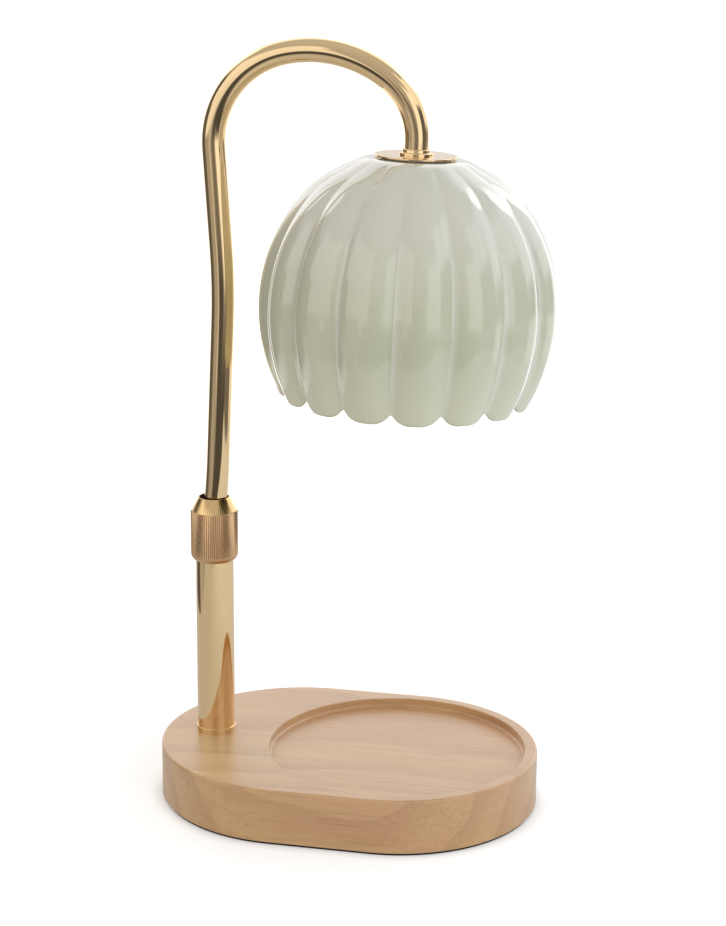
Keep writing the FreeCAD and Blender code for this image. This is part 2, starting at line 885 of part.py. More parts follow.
def make_terminal_block():
    """The two-way block under the ceiling of the base's cavity, and its screws."""
    low = size.cavity_ceiling - size.block_height
    length, width = size.block_length, size.block_width
    left = -size.block_centre - length / 2
    passage_height = low + size.block_passage_height
    hole_depth = size.block_passage_height
    screw_length = size.block_screw_length
    screw_low = low + size.block_screw_inset
    radius = size.screw_radius
    body_box = block("block_body", length, width, size.block_height, left, -width / 2, low)
    holes = []
    screws = []
    for side in (-1, 1):
        across = side * size.block_screw_pitch / 2
        passage = doc.addObject("Part::Cylinder", f"block_passage_{side + 1}")
        bind(passage, "Radius", size.block_passage_radius)
        bind(passage, "Height", length + 2)
        passage.Placement = FreeCAD.Placement(
            FreeCAD.Vector((left - 1).value, across.value, passage_height.value),
            FreeCAD.Rotation(FreeCAD.Vector(0, 1, 0), 90),
        )
        bind(passage, "Placement.Base.x", left - 1)
        bind(passage, "Placement.Base.y", across)
        bind(passage, "Placement.Base.z", passage_height)
        holes.append(passage)
        for end in (-1, 1):
            along = -size.block_centre + end * length / 4
            mark = f"{side + 1}_{end + 1}"
            holes.append(cylinder(f"block_hole_{mark}", radius, hole_depth, along, across, low - 1))
            screws.append(cylinder(f"block_screw_{mark}", radius, screw_length, along, across, screw_low))
    cut_from("terminal_block", body_box, fused("block_holes", holes))
    separate("terminal_screws", screws)


# ---------------------------------------------------------------- head: cap, glass and lamp holder

head_lean = math.radians(size.head_tilt.value)
HEAD_X = POST_X + (ARM_END_X - size.cap_thickness * math.sin(head_lean))
HEAD_Z = ARM_END_Z - size.cap_thickness * math.cos(head_lean)


def on_head(part):
    """Places a sub-part that is modelled along the head's own axis."""
    place(part, x=HEAD_X, z=HEAD_Z, tilt=size.head_tilt.value)
    return part


glass_top = -size.gasket_thickness
glass_inside = glass_top - size.glass_wall
inner_gasket_low = glass_inside - size.gasket_thickness
clamp_washer_low = inner_gasket_low - size.clamp_washer_thickness
head_nut_low = clamp_washer_low - size.head_nut_height
nipple_clear = size.nipple_radius + size.thread_gap


def make_cap():
    """The cap disc with its stepped ferrule round the arm's end."""
    thick = size.cap_thickness
    edge = size.cap_edge
    foot_top = thick + size.ferrule_foot_height
    ferrule_top = foot_top + size.ferrule_height
    bore = size.arm_radius + size.thread_gap
    cap = turned(
        "shade_cap",
        [
            (nipple_clear, 0),
            (size.cap_radius - edge, 0),
            (size.cap_radius, edge),
            (size.cap_radius, thick - edge),
            (size.cap_radius - edge, thick),
            (nipple_clear, thick),
        ],
    )
    ferrule = turned(
        "neck_ferrule",
        [
            (bore, thick),
            (size.ferrule_foot_radius, thick),
            (size.ferrule_foot_radius, foot_top),
            (size.ferrule_radius, foot_top),
            (size.ferrule_radius, ferrule_top - size.ferrule_edge),
            (size.ferrule_radius - size.ferrule_edge, ferrule_top),
            (bore, ferrule_top),
        ],
    )
    on_head(cap)
    on_head(ferrule)


def make_head_fixing():
    """Gaskets, washer and nut that clamp the glass on the hollow nipple in the arm's end."""
    on_head(ring("cap_gasket", nipple_clear, size.gasket_radius, glass_top, as_length(0)))
    on_head(ring("inner_gasket", nipple_clear, size.clamp_washer_radius, inner_gasket_low, glass_inside))
    on_head(ring("clamp_washer", nipple_clear, size.clamp_washer_radius, clamp_washer_low, inner_gasket_low))
    on_head(hexagon("head_nut", size.head_nut_flats, nipple_clear, head_nut_low, clamp_washer_low))
    nipple_top = size.cap_thickness + size.nipple_engage
    bore = size.nipple_bore_radius
    nipple = ring("head_nipple", bore, size.nipple_radius, -size.nipple_bottom, nipple_top)
    on_head(nipple)


def rib_section(below, crest, valley, inset):
    """One level of the shade: an arc for each rib, with the valleys as corners."""
    count = int(size.rib_count.value)
    step = 2 * math.pi / count
    first = math.radians(size.rib_turn.value - 90)
    outer = crest.value - inset
    inner = crest.value - valley.value - inset
    level = glass_top.value - below.value
    arcs = []
    for k in range(count):
        corner = [first + step * (k + j) for j in (0, 0.5, 1)]
        points = [
            FreeCAD.Vector(radius * math.cos(angle), radius * math.sin(angle), level)
            for radius, angle in zip((inner, outer, inner), corner)
        ]
        arcs.append(Part.Arc(*points).toShape())
    return Part.Wire(arcs)


def shade_cells(mark):
    """The three lengths of one level of the shade."""
    return [getattr(size, f"section_{mark}_{what}") for what in ("below", "crest", "valley")]


def make_glass_shade():
    """The cased glass shade: ribs lofted over the levels, hollowed, with a scalloped rim."""
    outer = Part.makeLoft([rib_section(*shade_cells(mark), 0.0) for mark in SHADE_SECTIONS], True)
    wall = size.glass_wall.value
    drop = FreeCAD.Vector(0, 0, -wall)
    inner_wires = [rib_section(*shade_cells(mark), wall) for mark in SHADE_SECTIONS]
    for wire in inner_wires:
        wire.translate(drop)
    hollow = Part.makeLoft(inner_wires, True)
    neck_foot = FreeCAD.Vector(0, 0, glass_inside.value - wall)
    neck = Part.makeCylinder(size.glass_hole_radius.value, 3 * wall, neck_foot)
    glass = outer.cut(hollow).cut(neck)

    rim = glass_top.value - size.glass_height.value
    drop_height = size.scallop_height.value
    half_rib = size.section_p_crest.value * math.sin(math.pi / size.rib_count.value)
    cusp = FreeCAD.Vector(0, 0, rim + drop_height)
    shoulder = FreeCAD.Vector(0, 0.22 * half_rib, rim + 0.38 * drop_height)
    foot = FreeCAD.Vector(0, 0.72 * half_rib, rim)
    below = FreeCAD.Vector(0, foot.y, rim - 1)
    across = [FreeCAD.Vector(0, -point.y, point.z) for point in (shoulder, foot, below)]
    notch = Part.Wire(
        [
            Part.Arc(cusp, shoulder, foot).toShape(),
            Part.makeLine(foot, below),
            Part.makeLine(below, across[2]),
            Part.makeLine(across[2], across[1]),
            Part.Arc(across[1], across[0], cusp).toShape(),
        ]
    )
    cutter = Part.Face(notch).extrude(FreeCAD.Vector(size.section_k_crest.value + 5, 0, 0))
    step = 360.0 / size.rib_count.value
    for k in range(int(size.rib_count.value)):
        tool = cutter.copy()
        tool.rotate(FreeCAD.Vector(0, 0, 0), FreeCAD.Vector(0, 0, 1), size.rib_turn.value - 90 + step * k)
        glass = glass.cut(tool)
    shade = doc.addObject("Part::Feature", "glass_shade")
    shade.Shape = glass
    on_head(subpart(shade, "glass_shade"))


def make_socket_cup():
    """The metal cup that hangs from the nipple, and its nut."""
    wall = size.cup_wall
    inside = head_nut_low - wall
    body = turned(
        "socket_cup",
        [
            (nipple_clear, inside),
            (size.cup_radius - wall, inside),
            (size.cup_radius - wall, head_nut_low - size.cup_height),
            (size.cup_radius, head_nut_low - size.cup_height),
            (size.cup_radius, head_nut_low - size.cup_corner, size.cup_corner),
            (size.cup_radius - size.cup_corner, head_nut_low),
            (nipple_clear, head_nut_low),
        ],
    )
    screw_hole = new_sketch(body, "screw_hole", height=head_nut_low)
    circle(screw_hole, size.screw_radius + size.thread_gap, 0, size.screw_offset)
    hole = pocket(body, screw_hole, wall)
    repeat_round(body, hole, as_length(2))
    on_head(body)
    on_head(hexagon("socket_nut", size.head_nut_flats, nipple_clear, inside - size.head_nut_height, inside))


holder_face = -size.holder_top - size.holder_height
pin_circle = size.pin_spacing / 2
slot_floor = holder_face + size.holder_plate


def arc_slot(sketch, half_width):
    """A slot round the axis, from the pins' locked place back to where they enter."""
    twist = math.radians(-size.pin_twist.value)
    middle = pin_circle.value
    wide = half_width.value
    origin = FreeCAD.Vector(0, 0, 0)

    def at(radius, angle):
        return FreeCAD.Vector(radius * math.cos(angle), radius * math.sin(angle), 0)

    far_out = middle + wide
    near_in = middle - wide
    corners = [at(far_out, twist), at(far_out, 0), at(near_in, 0), at(near_in, twist)]
    outer = add_arc(sketch, corners[0], corners[1], origin, False)
    near = add_arc(sketch, corners[1], corners[2], at(middle, 0), False)
    inner = add_arc(sketch, corners[2], corners[3], origin, True)
    far = add_arc(sketch, corners[3], corners[0], at(middle, twist), False)
    ends = [outer, near, inner, far]
    for i, (edge, _, head) in enumerate(ends):
        after, after_tail, _ = ends[(i + 1) % 4]
        sketch.addConstraint(Sketcher.Constraint("Tangent", edge, head, after, after_tail))
    for edge, _, _ in (outer, inner):
        pin_point(sketch, edge, 3, 0, 0)
    pin_point(sketch, near[0], 3, pin_circle, 0)
    index = sketch.addConstraint(Sketcher.Constraint("Radius", near[0], wide))
    bind(sketch, f"Constraints[{index}]", half_width)
    span = sketch.addConstraint(Sketcher.Constraint("Angle", outer[0], abs(twist)))
    bind(sketch, f"Constraints[{span}]", size.pin_twist * Length(1, "1 deg"))


def make_socket_body():
    """The ceramic lamp holder: keyed slots for the pins, two screw holes and a lead hole."""
    neck_slot = size.pin_neck_radius + size.pin_gap
    head_slot = size.pin_head_radius + size.pin_gap
    entry_hole = size.pin_head_radius + size.pin_gap / 2
    body = new_body("socket_body")
    plan = new_sketch(body, "plan", height=holder_face)
    circle(plan, size.holder_radius)
    blank = pad(body, plan, size.holder_height)
    dress(body, "Fillet", blank, edges_at(blank.Shape, holder_face.value), size.holder_edge)

    lead_hole = new_sketch(body, "lead_hole", height=-size.holder_top)
    circle(lead_hole, size.lead_radius + size.lead_hole_gap)
    pocket(body, lead_hole, size.lead_hole_depth)

    head_room = new_sketch(body, "head_room", height=slot_floor)
    arc_slot(head_room, head_slot)
    room = pocket(body, head_room, size.slot_depth, along_normal=True)
    repeat_round(body, room, as_length(2))

    neck_way = new_sketch(body, "neck_way", height=slot_floor)
    arc_slot(neck_way, neck_slot)
    way = pocket(body, neck_way, size.holder_plate)
    repeat_round(body, way, as_length(2))

    entry = new_sketch(body, "entry", height=slot_floor)
    twist = math.radians(-size.pin_twist.value)
    circle(entry, entry_hole, pin_circle * round(math.cos(twist), 6), pin_circle * round(math.sin(twist), 6))
    way_in = pocket(body, entry, size.holder_plate)
    repeat_round(body, way_in, as_length(2))

    screw_hole = new_sketch(body, "screw_hole", height=holder_face)
    circle(screw_hole, size.screw_radius + size.screw_gap, 0, size.screw_offset)
    hole = pocket(body, screw_hole, size.holder_height, along_normal=True)
    repeat_round(body, hole, as_length(2))
    counterbore = new_sketch(body, "counterbore", height=holder_face)
    circle(counterbore, size.screw_head_radius + size.screw_head_gap, 0, size.screw_offset)
    sink = pocket(body, counterbore, size.counterbore_depth, along_normal=True)
    repeat_round(body, sink, as_length(2))
    on_head(body)


def make_holder_metal():
    """The two contact clips over the pins, and the two screws up into the cup."""
    clip = size.clip_size
    clip_low = slot_floor + size.pin_head_height + 2 * size.pin_gap
    clip_high = slot_floor + size.slot_depth
    clips = []
    screws = []
    head_low = holder_face + size.counterbore_depth - size.screw_head_height
    shank_low = holder_face + size.counterbore_depth
    for side in (-1, 1):
        mark = side + 1
        along = side * pin_circle - clip / 2
        clips.append(block(f"clip_{mark}", clip, clip, clip_high - clip_low, along, -clip / 2, clip_low))
        across = side * size.screw_offset
        head_radius = size.screw_head_radius
        head = cylinder(f"screw_head_{mark}", head_radius, size.screw_head_height, 0, across, head_low)
        reach = head_nut_low - shank_low
        shank = cylinder(f"screw_shank_{mark}", size.screw_radius, reach, 0, across, shank_low)
        screws.append(fused(f"socket_screw_{mark}", [head, shank]))
    on_head(separate("contact_clips", clips))
    on_head(separate("socket_screws", screws))


# ---------------------------------------------------------------- bulb

bulb_top = holder_face - size.bulb_gap
bulb_face = bulb_top - size.bulb_length


def make_bulb():
    """The twist-in reflector bulb: shell, pins, front lens, inner capsule and filament."""
    wall = size.bulb_wall
    neck = size.bulb_neck_radius
    outer = size.bulb_radius
    neck_low = bulb_top - size.bulb_neck_height
    rim_high = bulb_face + size.bulb_rim_height
    solid_low = bulb_top - size.bulb_solid_height
    on_head(
        turned(
            "bulb_reflector",
            [
                (0, solid_low),
                (neck - wall, solid_low),
                (neck - wall, neck_low, size.bulb_flare_radius - wall),
                (outer - wall, rim_high),
                (outer - wall, bulb_face),
                (outer, bulb_face),
                (outer, rim_high, -size.bulb_flare_radius),
                (neck, neck_low),
                (neck, bulb_top),
                (0, bulb_top),
            ],
        )
    )
    lens_radius = outer - wall - size.thread_gap
    lens_high = bulb_face + size.lens_thickness
    disc = [(0, bulb_face), (lens_radius, bulb_face), (lens_radius, lens_high), (0, lens_high)]
    on_head(turned("bulb_lens", disc))

    inner = size.capsule_radius - size.capsule_wall
    round_high = solid_low - size.capsule_length + size.capsule_radius
    seal_low = solid_low - size.capsule_seal
    on_head(
        turned(
            "bulb_capsule",
            [
                (0, solid_low),
                (0, seal_low),
                (inner, seal_low),
                (inner, round_high, -inner),
                (0, round_high - inner),
                (0, round_high - size.capsule_radius, size.capsule_radius),
                (size.capsule_radius, round_high),
                (size.capsule_radius, solid_low),
            ],
        )
    )
    coil_height = round_high + size.filament_rise
    coil = doc.addObject("Part::Cylinder", "filament_coil")
    bind(coil, "Radius", size.filament_radius)
    bind(coil, "Height", size.filament_length)
    coil.Placement = FreeCAD.Placement(
        FreeCAD.Vector(-size.filament_length.value / 2, 0, coil_height.value),
        FreeCAD.Rotation(FreeCAD.Vector(0, 1, 0), 90),
    )
    bind(coil, "Placement.Base.x", -size.filament_length / 2)
    bind(coil, "Placement.Base.z", coil_height)
    wires = [coil]
    wire = size.filament_wire_radius
    leg = seal_low - coil_height
    for side in (-1, 1):
        along = side * (size.filament_length / 2 - 2 * wire)
        wires.append(cylinder(f"filament_leg_{side + 1}", wire, leg, along, 0, coil_height))
    on_head(subpart(fused("bulb_filament", wires), "bulb_filament"))

    head_low = slot_floor + size.pin_gap
    head_height = size.pin_head_height
    neck_length = head_low - bulb_top
    pins = []
    for side in (-1, 1):
        mark = side + 1
        along = side * pin_circle
        pin_neck = cylinder(f"pin_neck_{mark}", size.pin_neck_radius, neck_length, along, 0, bulb_top)
        pin_head = cylinder(f"pin_head_{mark}", size.pin_head_radius, head_height, along, 0, head_low)
        pins.append(fused(f"pin_{mark}", [pin_neck, pin_head]))
    on_head(separate("bulb_pins", pins))


# ---------------------------------------------------------------- build and write

make_base_block()
make_base_pad()
make_cord_gland()
make_post()
make_clamp_nut()
make_collet()
make_arm()
make_leads()
make_terminal_block()
make_cap()
make_head_fixing()
make_glass_shade()
make_socket_cup()
make_socket_body()
make_holder_metal()
make_bulb()
doc.recompute()

for thing in doc.Objects:
    if "Invalid" in thing.State or "Error" in thing.State:
        raise RuntimeError(f"{thing.Name} is {thing.State}")

os.makedirs("parts", exist_ok=True)
for part in SUBPARTS:
    if part.Shape.isNull() or not part.Shape.isValid():
        raise RuntimeError(f"{part.Label} has no valid shape")
    part.Shape.exportStep(f"parts/{part.Label}.step")
    print(part.Label, len(part.Shape.Solids), round(part.Shape.Volume, 1))
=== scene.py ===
import math

import bmesh
import bpy
from mathutils import Matrix, Vector


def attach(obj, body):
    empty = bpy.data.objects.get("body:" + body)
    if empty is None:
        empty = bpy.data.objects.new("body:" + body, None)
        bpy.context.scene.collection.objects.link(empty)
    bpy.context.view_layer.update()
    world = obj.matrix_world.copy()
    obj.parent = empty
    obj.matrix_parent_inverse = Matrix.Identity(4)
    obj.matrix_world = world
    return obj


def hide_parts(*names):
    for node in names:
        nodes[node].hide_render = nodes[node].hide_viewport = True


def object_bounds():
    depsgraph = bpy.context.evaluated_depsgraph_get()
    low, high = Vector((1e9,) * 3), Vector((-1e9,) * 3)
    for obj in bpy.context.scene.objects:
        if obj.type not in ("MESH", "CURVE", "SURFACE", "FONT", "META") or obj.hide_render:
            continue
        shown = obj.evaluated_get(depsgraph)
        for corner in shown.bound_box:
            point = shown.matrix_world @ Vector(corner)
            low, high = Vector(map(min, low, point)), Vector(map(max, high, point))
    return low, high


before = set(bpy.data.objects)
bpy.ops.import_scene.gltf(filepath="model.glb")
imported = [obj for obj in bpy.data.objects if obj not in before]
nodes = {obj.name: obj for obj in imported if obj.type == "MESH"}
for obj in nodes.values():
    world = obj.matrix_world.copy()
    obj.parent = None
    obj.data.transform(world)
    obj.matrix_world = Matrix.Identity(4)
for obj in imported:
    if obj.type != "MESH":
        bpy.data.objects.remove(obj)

cad_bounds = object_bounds()

# ---------------------------------------------------------------- camera
# A long lens a little above the lamp, looking down at it and slightly from the right. Its focal
# length is given in pixels of an upright picture.
IMAGE_HEIGHT = 926
FOCAL_LENGTH_PIXELS = 2103.2
CAMERA_PLACE = (0.18260, -0.82537, 0.36783)
VIEW_AZIMUTH = math.radians(12.125)
VIEW_ELEVATION = math.radians(14.626)
VIEW_ROLL = math.radians(0.432)

bpy.ops.object.camera_add(location=CAMERA_PLACE)
camera = bpy.context.object
turn = Matrix.Rotation(VIEW_AZIMUTH, 4, "Z") @ Matrix.Rotation(math.pi / 2 - VIEW_ELEVATION, 4, "X")
camera.matrix_world = Matrix.Translation(camera.location) @ turn @ Matrix.Rotation(VIEW_ROLL, 4, "Z")
camera.data.sensor_width = 36
camera.data.lens = FOCAL_LENGTH_PIXELS * camera.data.sensor_width / IMAGE_HEIGHT
bpy.context.scene.camera = camera


# ---------------------------------------------------------------- studio
# A pale table on a white floor, soft lamps round it, and the room as polished metal and glass
# mirror it. The two classes that every finish is put together with stand here as well.
class Wire:
    """An output socket of a shader, so that sums and products of sockets can be written out."""

    def __init__(self, finish, socket):
        self.finish = finish
        self.socket = socket

    def output(self, name):
        """Another output of the same node."""
        return Wire(self.finish, self.socket.node.outputs[name])

    def __add__(self, other):
        return self.finish.maths("ADD", self, other)

    def __radd__(self, other):
        return self.finish.maths("ADD", other, self)

    def __sub__(self, other):
        return self.finish.maths("SUBTRACT", self, other)

    def __rsub__(self, other):
        return self.finish.maths("SUBTRACT", other, self)

    def __mul__(self, other):
        return self.finish.maths("MULTIPLY", self, other)

    def __rmul__(self, other):
        return self.finish.maths("MULTIPLY", other, self)

    def __truediv__(self, other):
        return self.finish.maths("DIVIDE", self, other)

    def __pow__(self, other):
        return self.finish.maths("POWER", self, other)


class Finish:
    """A material, or the world, while its nodes are put together."""

    def __init__(self, name, block=None):
        self.block = block or bpy.data.materials.new(name)
        self.block.use_nodes = True
        self.tree = self.block.node_tree
        self.tree.nodes.clear()

    def node(self, kind, settings=None, values=None, output=0):
        """Adds a node: first its settings, then the values or links of its sockets."""
        made = self.tree.nodes.new(kind)
        for name, value in (settings or {}).items():
            if name == "stops":
                self.set_stops(made.color_ramp, value)
            else:
                setattr(made, name, value)
        for name, value in (values or {}).items():
            socket = made.inputs[name]
            if isinstance(value, Wire):
                self.tree.links.new(value.socket, socket)
            elif socket.type == "RGBA":
                socket.default_value = (*value, 1)
            else:
                socket.default_value = value
        return Wire(self, made.outputs[output])

    @staticmethod
    def set_stops(ramp, stops):
        while len(ramp.elements) > 1:
            ramp.elements.remove(ramp.elements[0])
        for number, (position, colour) in enumerate(stops):
            stop = ramp.elements[0] if number == 0 else ramp.elements.new(position)
            stop.position = position
            stop.color = (*colour, 1)

    def place(self):
        """The point of the surface in the lamp's own frame, in metres."""
        return self.node("ShaderNodeTexCoord", output="Object")

    def split(self, vector):
        """A vector's X, Y and Z."""
        x = self.node("ShaderNodeSeparateXYZ", None, {0: vector}, output="X")
        return x, x.output("Y"), x.output("Z")

    def maths(self, operation, *values):
        return self.node("ShaderNodeMath", {"operation": operation}, dict(enumerate(values)))

    def vector_maths(self, operation, *vectors):
        """A number worked out from vectors, such as a length or a dot product."""
        values = dict(enumerate(vectors))
        return self.node("ShaderNodeVectorMath", {"operation": operation}, values, output="Value")

    def stretched(self, vector, scale, offset=(0, 0, 0)):
        return self.node("ShaderNodeMapping", None, {"Vector": vector, "Scale": scale, "Location": offset})

    def noise(self, vector, scale, detail, roughness=0.5):
        values = {"Vector": vector, "Scale": scale, "Detail": detail, "Roughness": roughness}
        return self.node("ShaderNodeTexNoise", None, values)

    def cells(self, vector, scale, output="Distance"):
        values = {"Vector": vector, "Scale": scale}
        return self.node("ShaderNodeTexVoronoi", None, values, output=output)

    def ramp(self, value, stops):
        return self.node("ShaderNodeValToRGB", {"stops": stops}, {"Fac": value})

    def blended(self, factor, first, second):
        """A colour between two colours."""
        return self.node("ShaderNodeMix", {"data_type": "RGBA"}, {0: factor, 6: first, 7: second}, output=2)

    def layered(self, factor, first, second):
        """A shader between two shaders."""
        return self.node("ShaderNodeMixShader", None, {0: factor, 1: first, 2: second})

    def smooth_step(self, value, low, high):
        values = {"Value": value, "From Min": low, "From Max": high}
        return self.node("ShaderNodeMapRange", {"interpolation_type": "SMOOTHSTEP"}, values)

    def bump(self, height, distance, strength):
        values = {"Height": height, "Distance": distance, "Strength": strength}
        return self.node("ShaderNodeBump", None, values, output="Normal")

    def principled(self, **values):
        """The surface shader, with socket names such as base_color, set as the material's output."""
        named = {name.replace("_", " ").title(): value for name, value in values.items()}
        if "Ior" in named:
            named["IOR"] = named.pop("Ior")
        return self.surface(self.node("ShaderNodeBsdfPrincipled", None, named))

    def surface(self, shader):
        """Sets a shader as the material's output, or the world's, and gives back the finished block."""
        in_world = isinstance(self.block, bpy.types.World)
        end = self.tree.nodes.new("ShaderNodeOutputWorld" if in_world else "ShaderNodeOutputMaterial")
        self.tree.links.new(shader.socket, end.inputs["Surface"])
        return self.block


def srgb(red, green, blue):
    """A colour as a screen shows it, 0 to 255, in the linear values that a shader takes."""
    shares = (red / 255, green / 255, blue / 255)
    return tuple(((share + 0.055) / 1.055) ** 2.4 if share > 0.04 else share / 12.92 for share in shares)


def grey(value, warmth=0.0):
    """A linear grey, with a little more red and less blue where it is warm."""
    return (value * (1 + warmth), value, value * (1 - warmth))


def deselect():
    bpy.ops.object.select_all(action="DESELECT")


def wear(piece, material):
    """Gives a piece one material in place of any it has."""
    piece.data.materials.clear()
    piece.data.materials.append(material)


room = Finish("room", bpy.data.worlds.new("room"))
bpy.context.scene.world = room.block
direction = room.node("ShaderNodeTexCoord", output="Generated")


def turned_to(way):
    """How far the direction looks a certain way: 1 along it, 0 across it, -1 against it."""
    return room.vector_maths("DOT_PRODUCT", direction, way)


def band(value, rise, fall):
    """1 between two soft edges, each given as its start and end, and 0 outside them."""
    return room.smooth_step(value, *rise) * (1 - room.smooth_step(value, *fall))


def soft_edge(middle, width):
    return middle - width / 2, middle + width / 2


def background(colour, strength=1.0):
    return room.node("ShaderNodeBackground", None, {"Color": colour, "Strength": strength})


towards_camera = turned_to((math.sin(VIEW_AZIMUTH), -math.cos(VIEW_AZIMUTH), 0))
rightwards = turned_to((math.cos(VIEW_AZIMUTH), math.sin(VIEW_AZIMUTH), 0))
upwards = room.split(direction)[2]
azimuth = room.maths("ARCTAN2", rightwards, towards_camera) * math.degrees(1)
elevation = room.maths("ARCSINE", upwards) * math.degrees(1)

# What the metal and the glass mirror: azimuth from the camera's side (right positive) and
# elevation, each from and to in degrees, then brightness and how soft the edges are.
ROOM = [
    ("back wall, right", (134, 200), (-90, 52), 1.5, 18),
    ("back wall, left", (-200, -140), (-90, 52), 1.4, 12),
    ("rail on the back wall, right", (164, 200), (0, 13), 0.88, 5),
    ("rail on the back wall, left", (-200, -164), (0, 13), 0.88, 5),
    ("white wall, left", (-142, -84), (-60, -24), 1.1, 10),
    ("bookcase, left", (-134, -98), (-24, 28), 0.12, 6),
    ("bookcase, near end", (-99, -82), (-13, 11), 0.16, 5),
    ("window, front left", (-94, -22), (12, 40), 1.15, 6),
    ("sill, front left", (-84, -21), (-4, 12), 1.1, 3),
    ("wall, front left", (-80, -36), (-46, -3), 0.45, 4),
    ("window edge, front left", (-43, -37), (-12, 6), 0.90, 2),
    ("camera", (-20, 9), (-38, 6), 0.22, 5),
    ("camera stand", (-31, 9), (-38, -8), 0.10, 4),
    ("chair, front right", (9, 30), (-38, -9), 0.26, 4),
    ("rug, front", (-44, 46), (-38, -13.5), 0.09, 3),
    ("doorway, front right", (4, 20), (0, 26), 0.50, 5),
    ("window, front right", (18, 52), (-9, 32), 1.3, 6),
    ("window pane, right", (47, 66), (24, 56), 1.25, 4),
    ("second pane, right", (69, 92), (24, 50), 1.3, 4),
    ("curtain, right", (56, 95), (-11, 21), 0.15, 6),
    ("bench, right", (46, 96), (-20, -13.5), 0.2, 3),
    ("light wall, right", (100, 136), (-40, -8), 1.05, 6),
    ("cupboard, right", (96, 128), (-9, 0), 0.32, 5),
    ("window, right", (97, 132), (4, 46), 1.2, 6),
    ("table, front", (-95, 60), (-90, -32), 0.64, 14),
]
# The bare walls between the floor, at 0, and the ceiling, at 1.
WALL_TONES = {0.0: 0.66, 0.25: 0.62, 0.40: 0.52, 0.5: 0.52, 0.66: 0.56, 1.0: 0.68}
wall_stops = [(level, grey(tone)) for level, tone in WALL_TONES.items()]
surroundings = room.ramp(elevation / 180 + 0.5, wall_stops)
for _, (left, right), (low, high), brightness, softness in ROOM:
    across = band(azimuth, soft_edge(left, softness), soft_edge(right, softness))
    upright = band(elevation, soft_edge(low, softness), soft_edge(high, softness))
    surroundings = room.blended(across * upright, surroundings, grey(brightness))

# Two roof windows, one on each side behind, slanting the way the roof does.
off_front = room.maths("ABSOLUTE", azimuth)
in_slant = band(off_front + elevation, (156, 160), (174, 196))
in_height = band(elevation, (14, 18), (43, 49))
in_width = band(off_front, (121, 125), (145, 150))
roof_light = room.blended(room.smooth_step(rightwards, -0.1, 0.1), grey(2.0), grey(3.4))
surroundings = room.blended(in_slant * in_height * in_width, surroundings, roof_light)

# Diffuse light comes from a plain sky, a little weaker from the camera's side.
path = room.node("ShaderNodeLightPath")
straight = room.maths("MAXIMUM", path.output("Is Camera Ray"), path.output("Is Transmission Ray"))
mirrored = path.output("Is Glossy Ray")
day = room.blended(room.smooth_step(rightwards, -1, 1), grey(0.56, 0.04), grey(0.66, -0.05))
soft_light = background(day, 1 - 0.15 * towards_camera)
lit_or_mirrored = room.layered(mirrored, soft_light, background(surroundings))
room.surface(room.layered(straight, lit_or_mirrored, background(grey(1.0))))

# The square table shows in the metal, and the white floor round it only to the eye.
TABLE_MIDDLE = (0.075, 0.035, 0)
TABLE_SIDE = 0.74
FLOOR_SPREAD = 17
FOOT_HALF_LENGTH = 0.021
FOOT_RADIUS = 0.06

table_top = Finish("pale_table")
table_x, table_y, _ = table_top.split(table_top.place())


def matt_between(low, high, left_colour, right_colour):
    """A matt surface whose colour changes from left to right between two places: painted shade on the left,
    painted light on the right.
    """
    left = table_top.node("ShaderNodeBsdfDiffuse", None, {"Color": left_colour})
    right = table_top.node("ShaderNodeBsdfDiffuse", None, {"Color": right_colour})
    return table_top.layered(table_top.smooth_step(table_x, low, high), left, right)


def glow_of(strength):
    return table_top.node("ShaderNodeEmission", None, {"Color": grey(1.0), "Strength": strength})


# The table is painted darker on the left and paler on the right, as the room's light falls more from the
# right: painted shade and light.
lit = matt_between(-0.3, 0.3, grey(0.72, 0.02), grey(0.96, -0.03))
mirrored_top = matt_between(-0.2, 0.2, grey(0.68), grey(0.92, -0.02))
far = table_top.smooth_step(table_top.vector_maths("LENGTH", table_top.place()), 0.1, 0.5)
open_glow = table_top.layered(far, glow_of(0.40), glow_of(0.62))

# Close round the lamp's stadium-shaped foot the table glows less: a painted contact shadow.
past_middle = table_top.maths("ABSOLUTE", table_x) - FOOT_HALF_LENGTH
past_end = table_top.maths("MAXIMUM", past_middle, 0.0)
off_line = table_top.node("ShaderNodeCombineXYZ", None, {"X": past_end, "Y": table_y})
off_foot = table_top.vector_maths("LENGTH", off_line)
past_painted_shadow = table_top.smooth_step(off_foot, FOOT_RADIUS - 0.001, FOOT_RADIUS + 0.006)
glow = table_top.layered(past_painted_shadow, glow_of(0.24), open_glow)
shown = table_top.node("ShaderNodeAddShader", None, {0: lit, 1: glow})
ray = table_top.node("ShaderNodeLightPath")
unseen = table_top.layered(ray.output("Is Glossy Ray"), lit, mirrored_top)
pale_table = table_top.surface(table_top.layered(ray.output("Is Camera Ray"), unseen, shown))

SQUARE = {"vertices": 4, "location": TABLE_MIDDLE, "rotation": (0, 0, math.pi / 4)}
corner_reach = TABLE_SIDE / math.sqrt(2)
deselect()
bpy.ops.mesh.primitive_circle_add(radius=corner_reach, fill_type="NGON", **SQUARE)
table = bpy.context.object
table.name = "table"

deselect()
bpy.ops.mesh.primitive_circle_add(radius=corner_reach, enter_editmode=True, **SQUARE)
floor = bpy.context.object
floor.name = "floor"
bpy.ops.mesh.extrude_region_move()
bpy.ops.transform.resize(value=(FLOOR_SPREAD, FLOOR_SPREAD, 1), center_override=TABLE_MIDDLE)
bpy.ops.object.mode_set(mode="OBJECT")
floor.visible_glossy = False
for ground in (table, floor):
    deselect()
    ground.select_set(True)
    bpy.ops.object.transform_apply(location=True, rotation=True, scale=False)
    wear(ground, pale_table)

LAMP_MIDDLE = Vector((0, 0, 0.15))


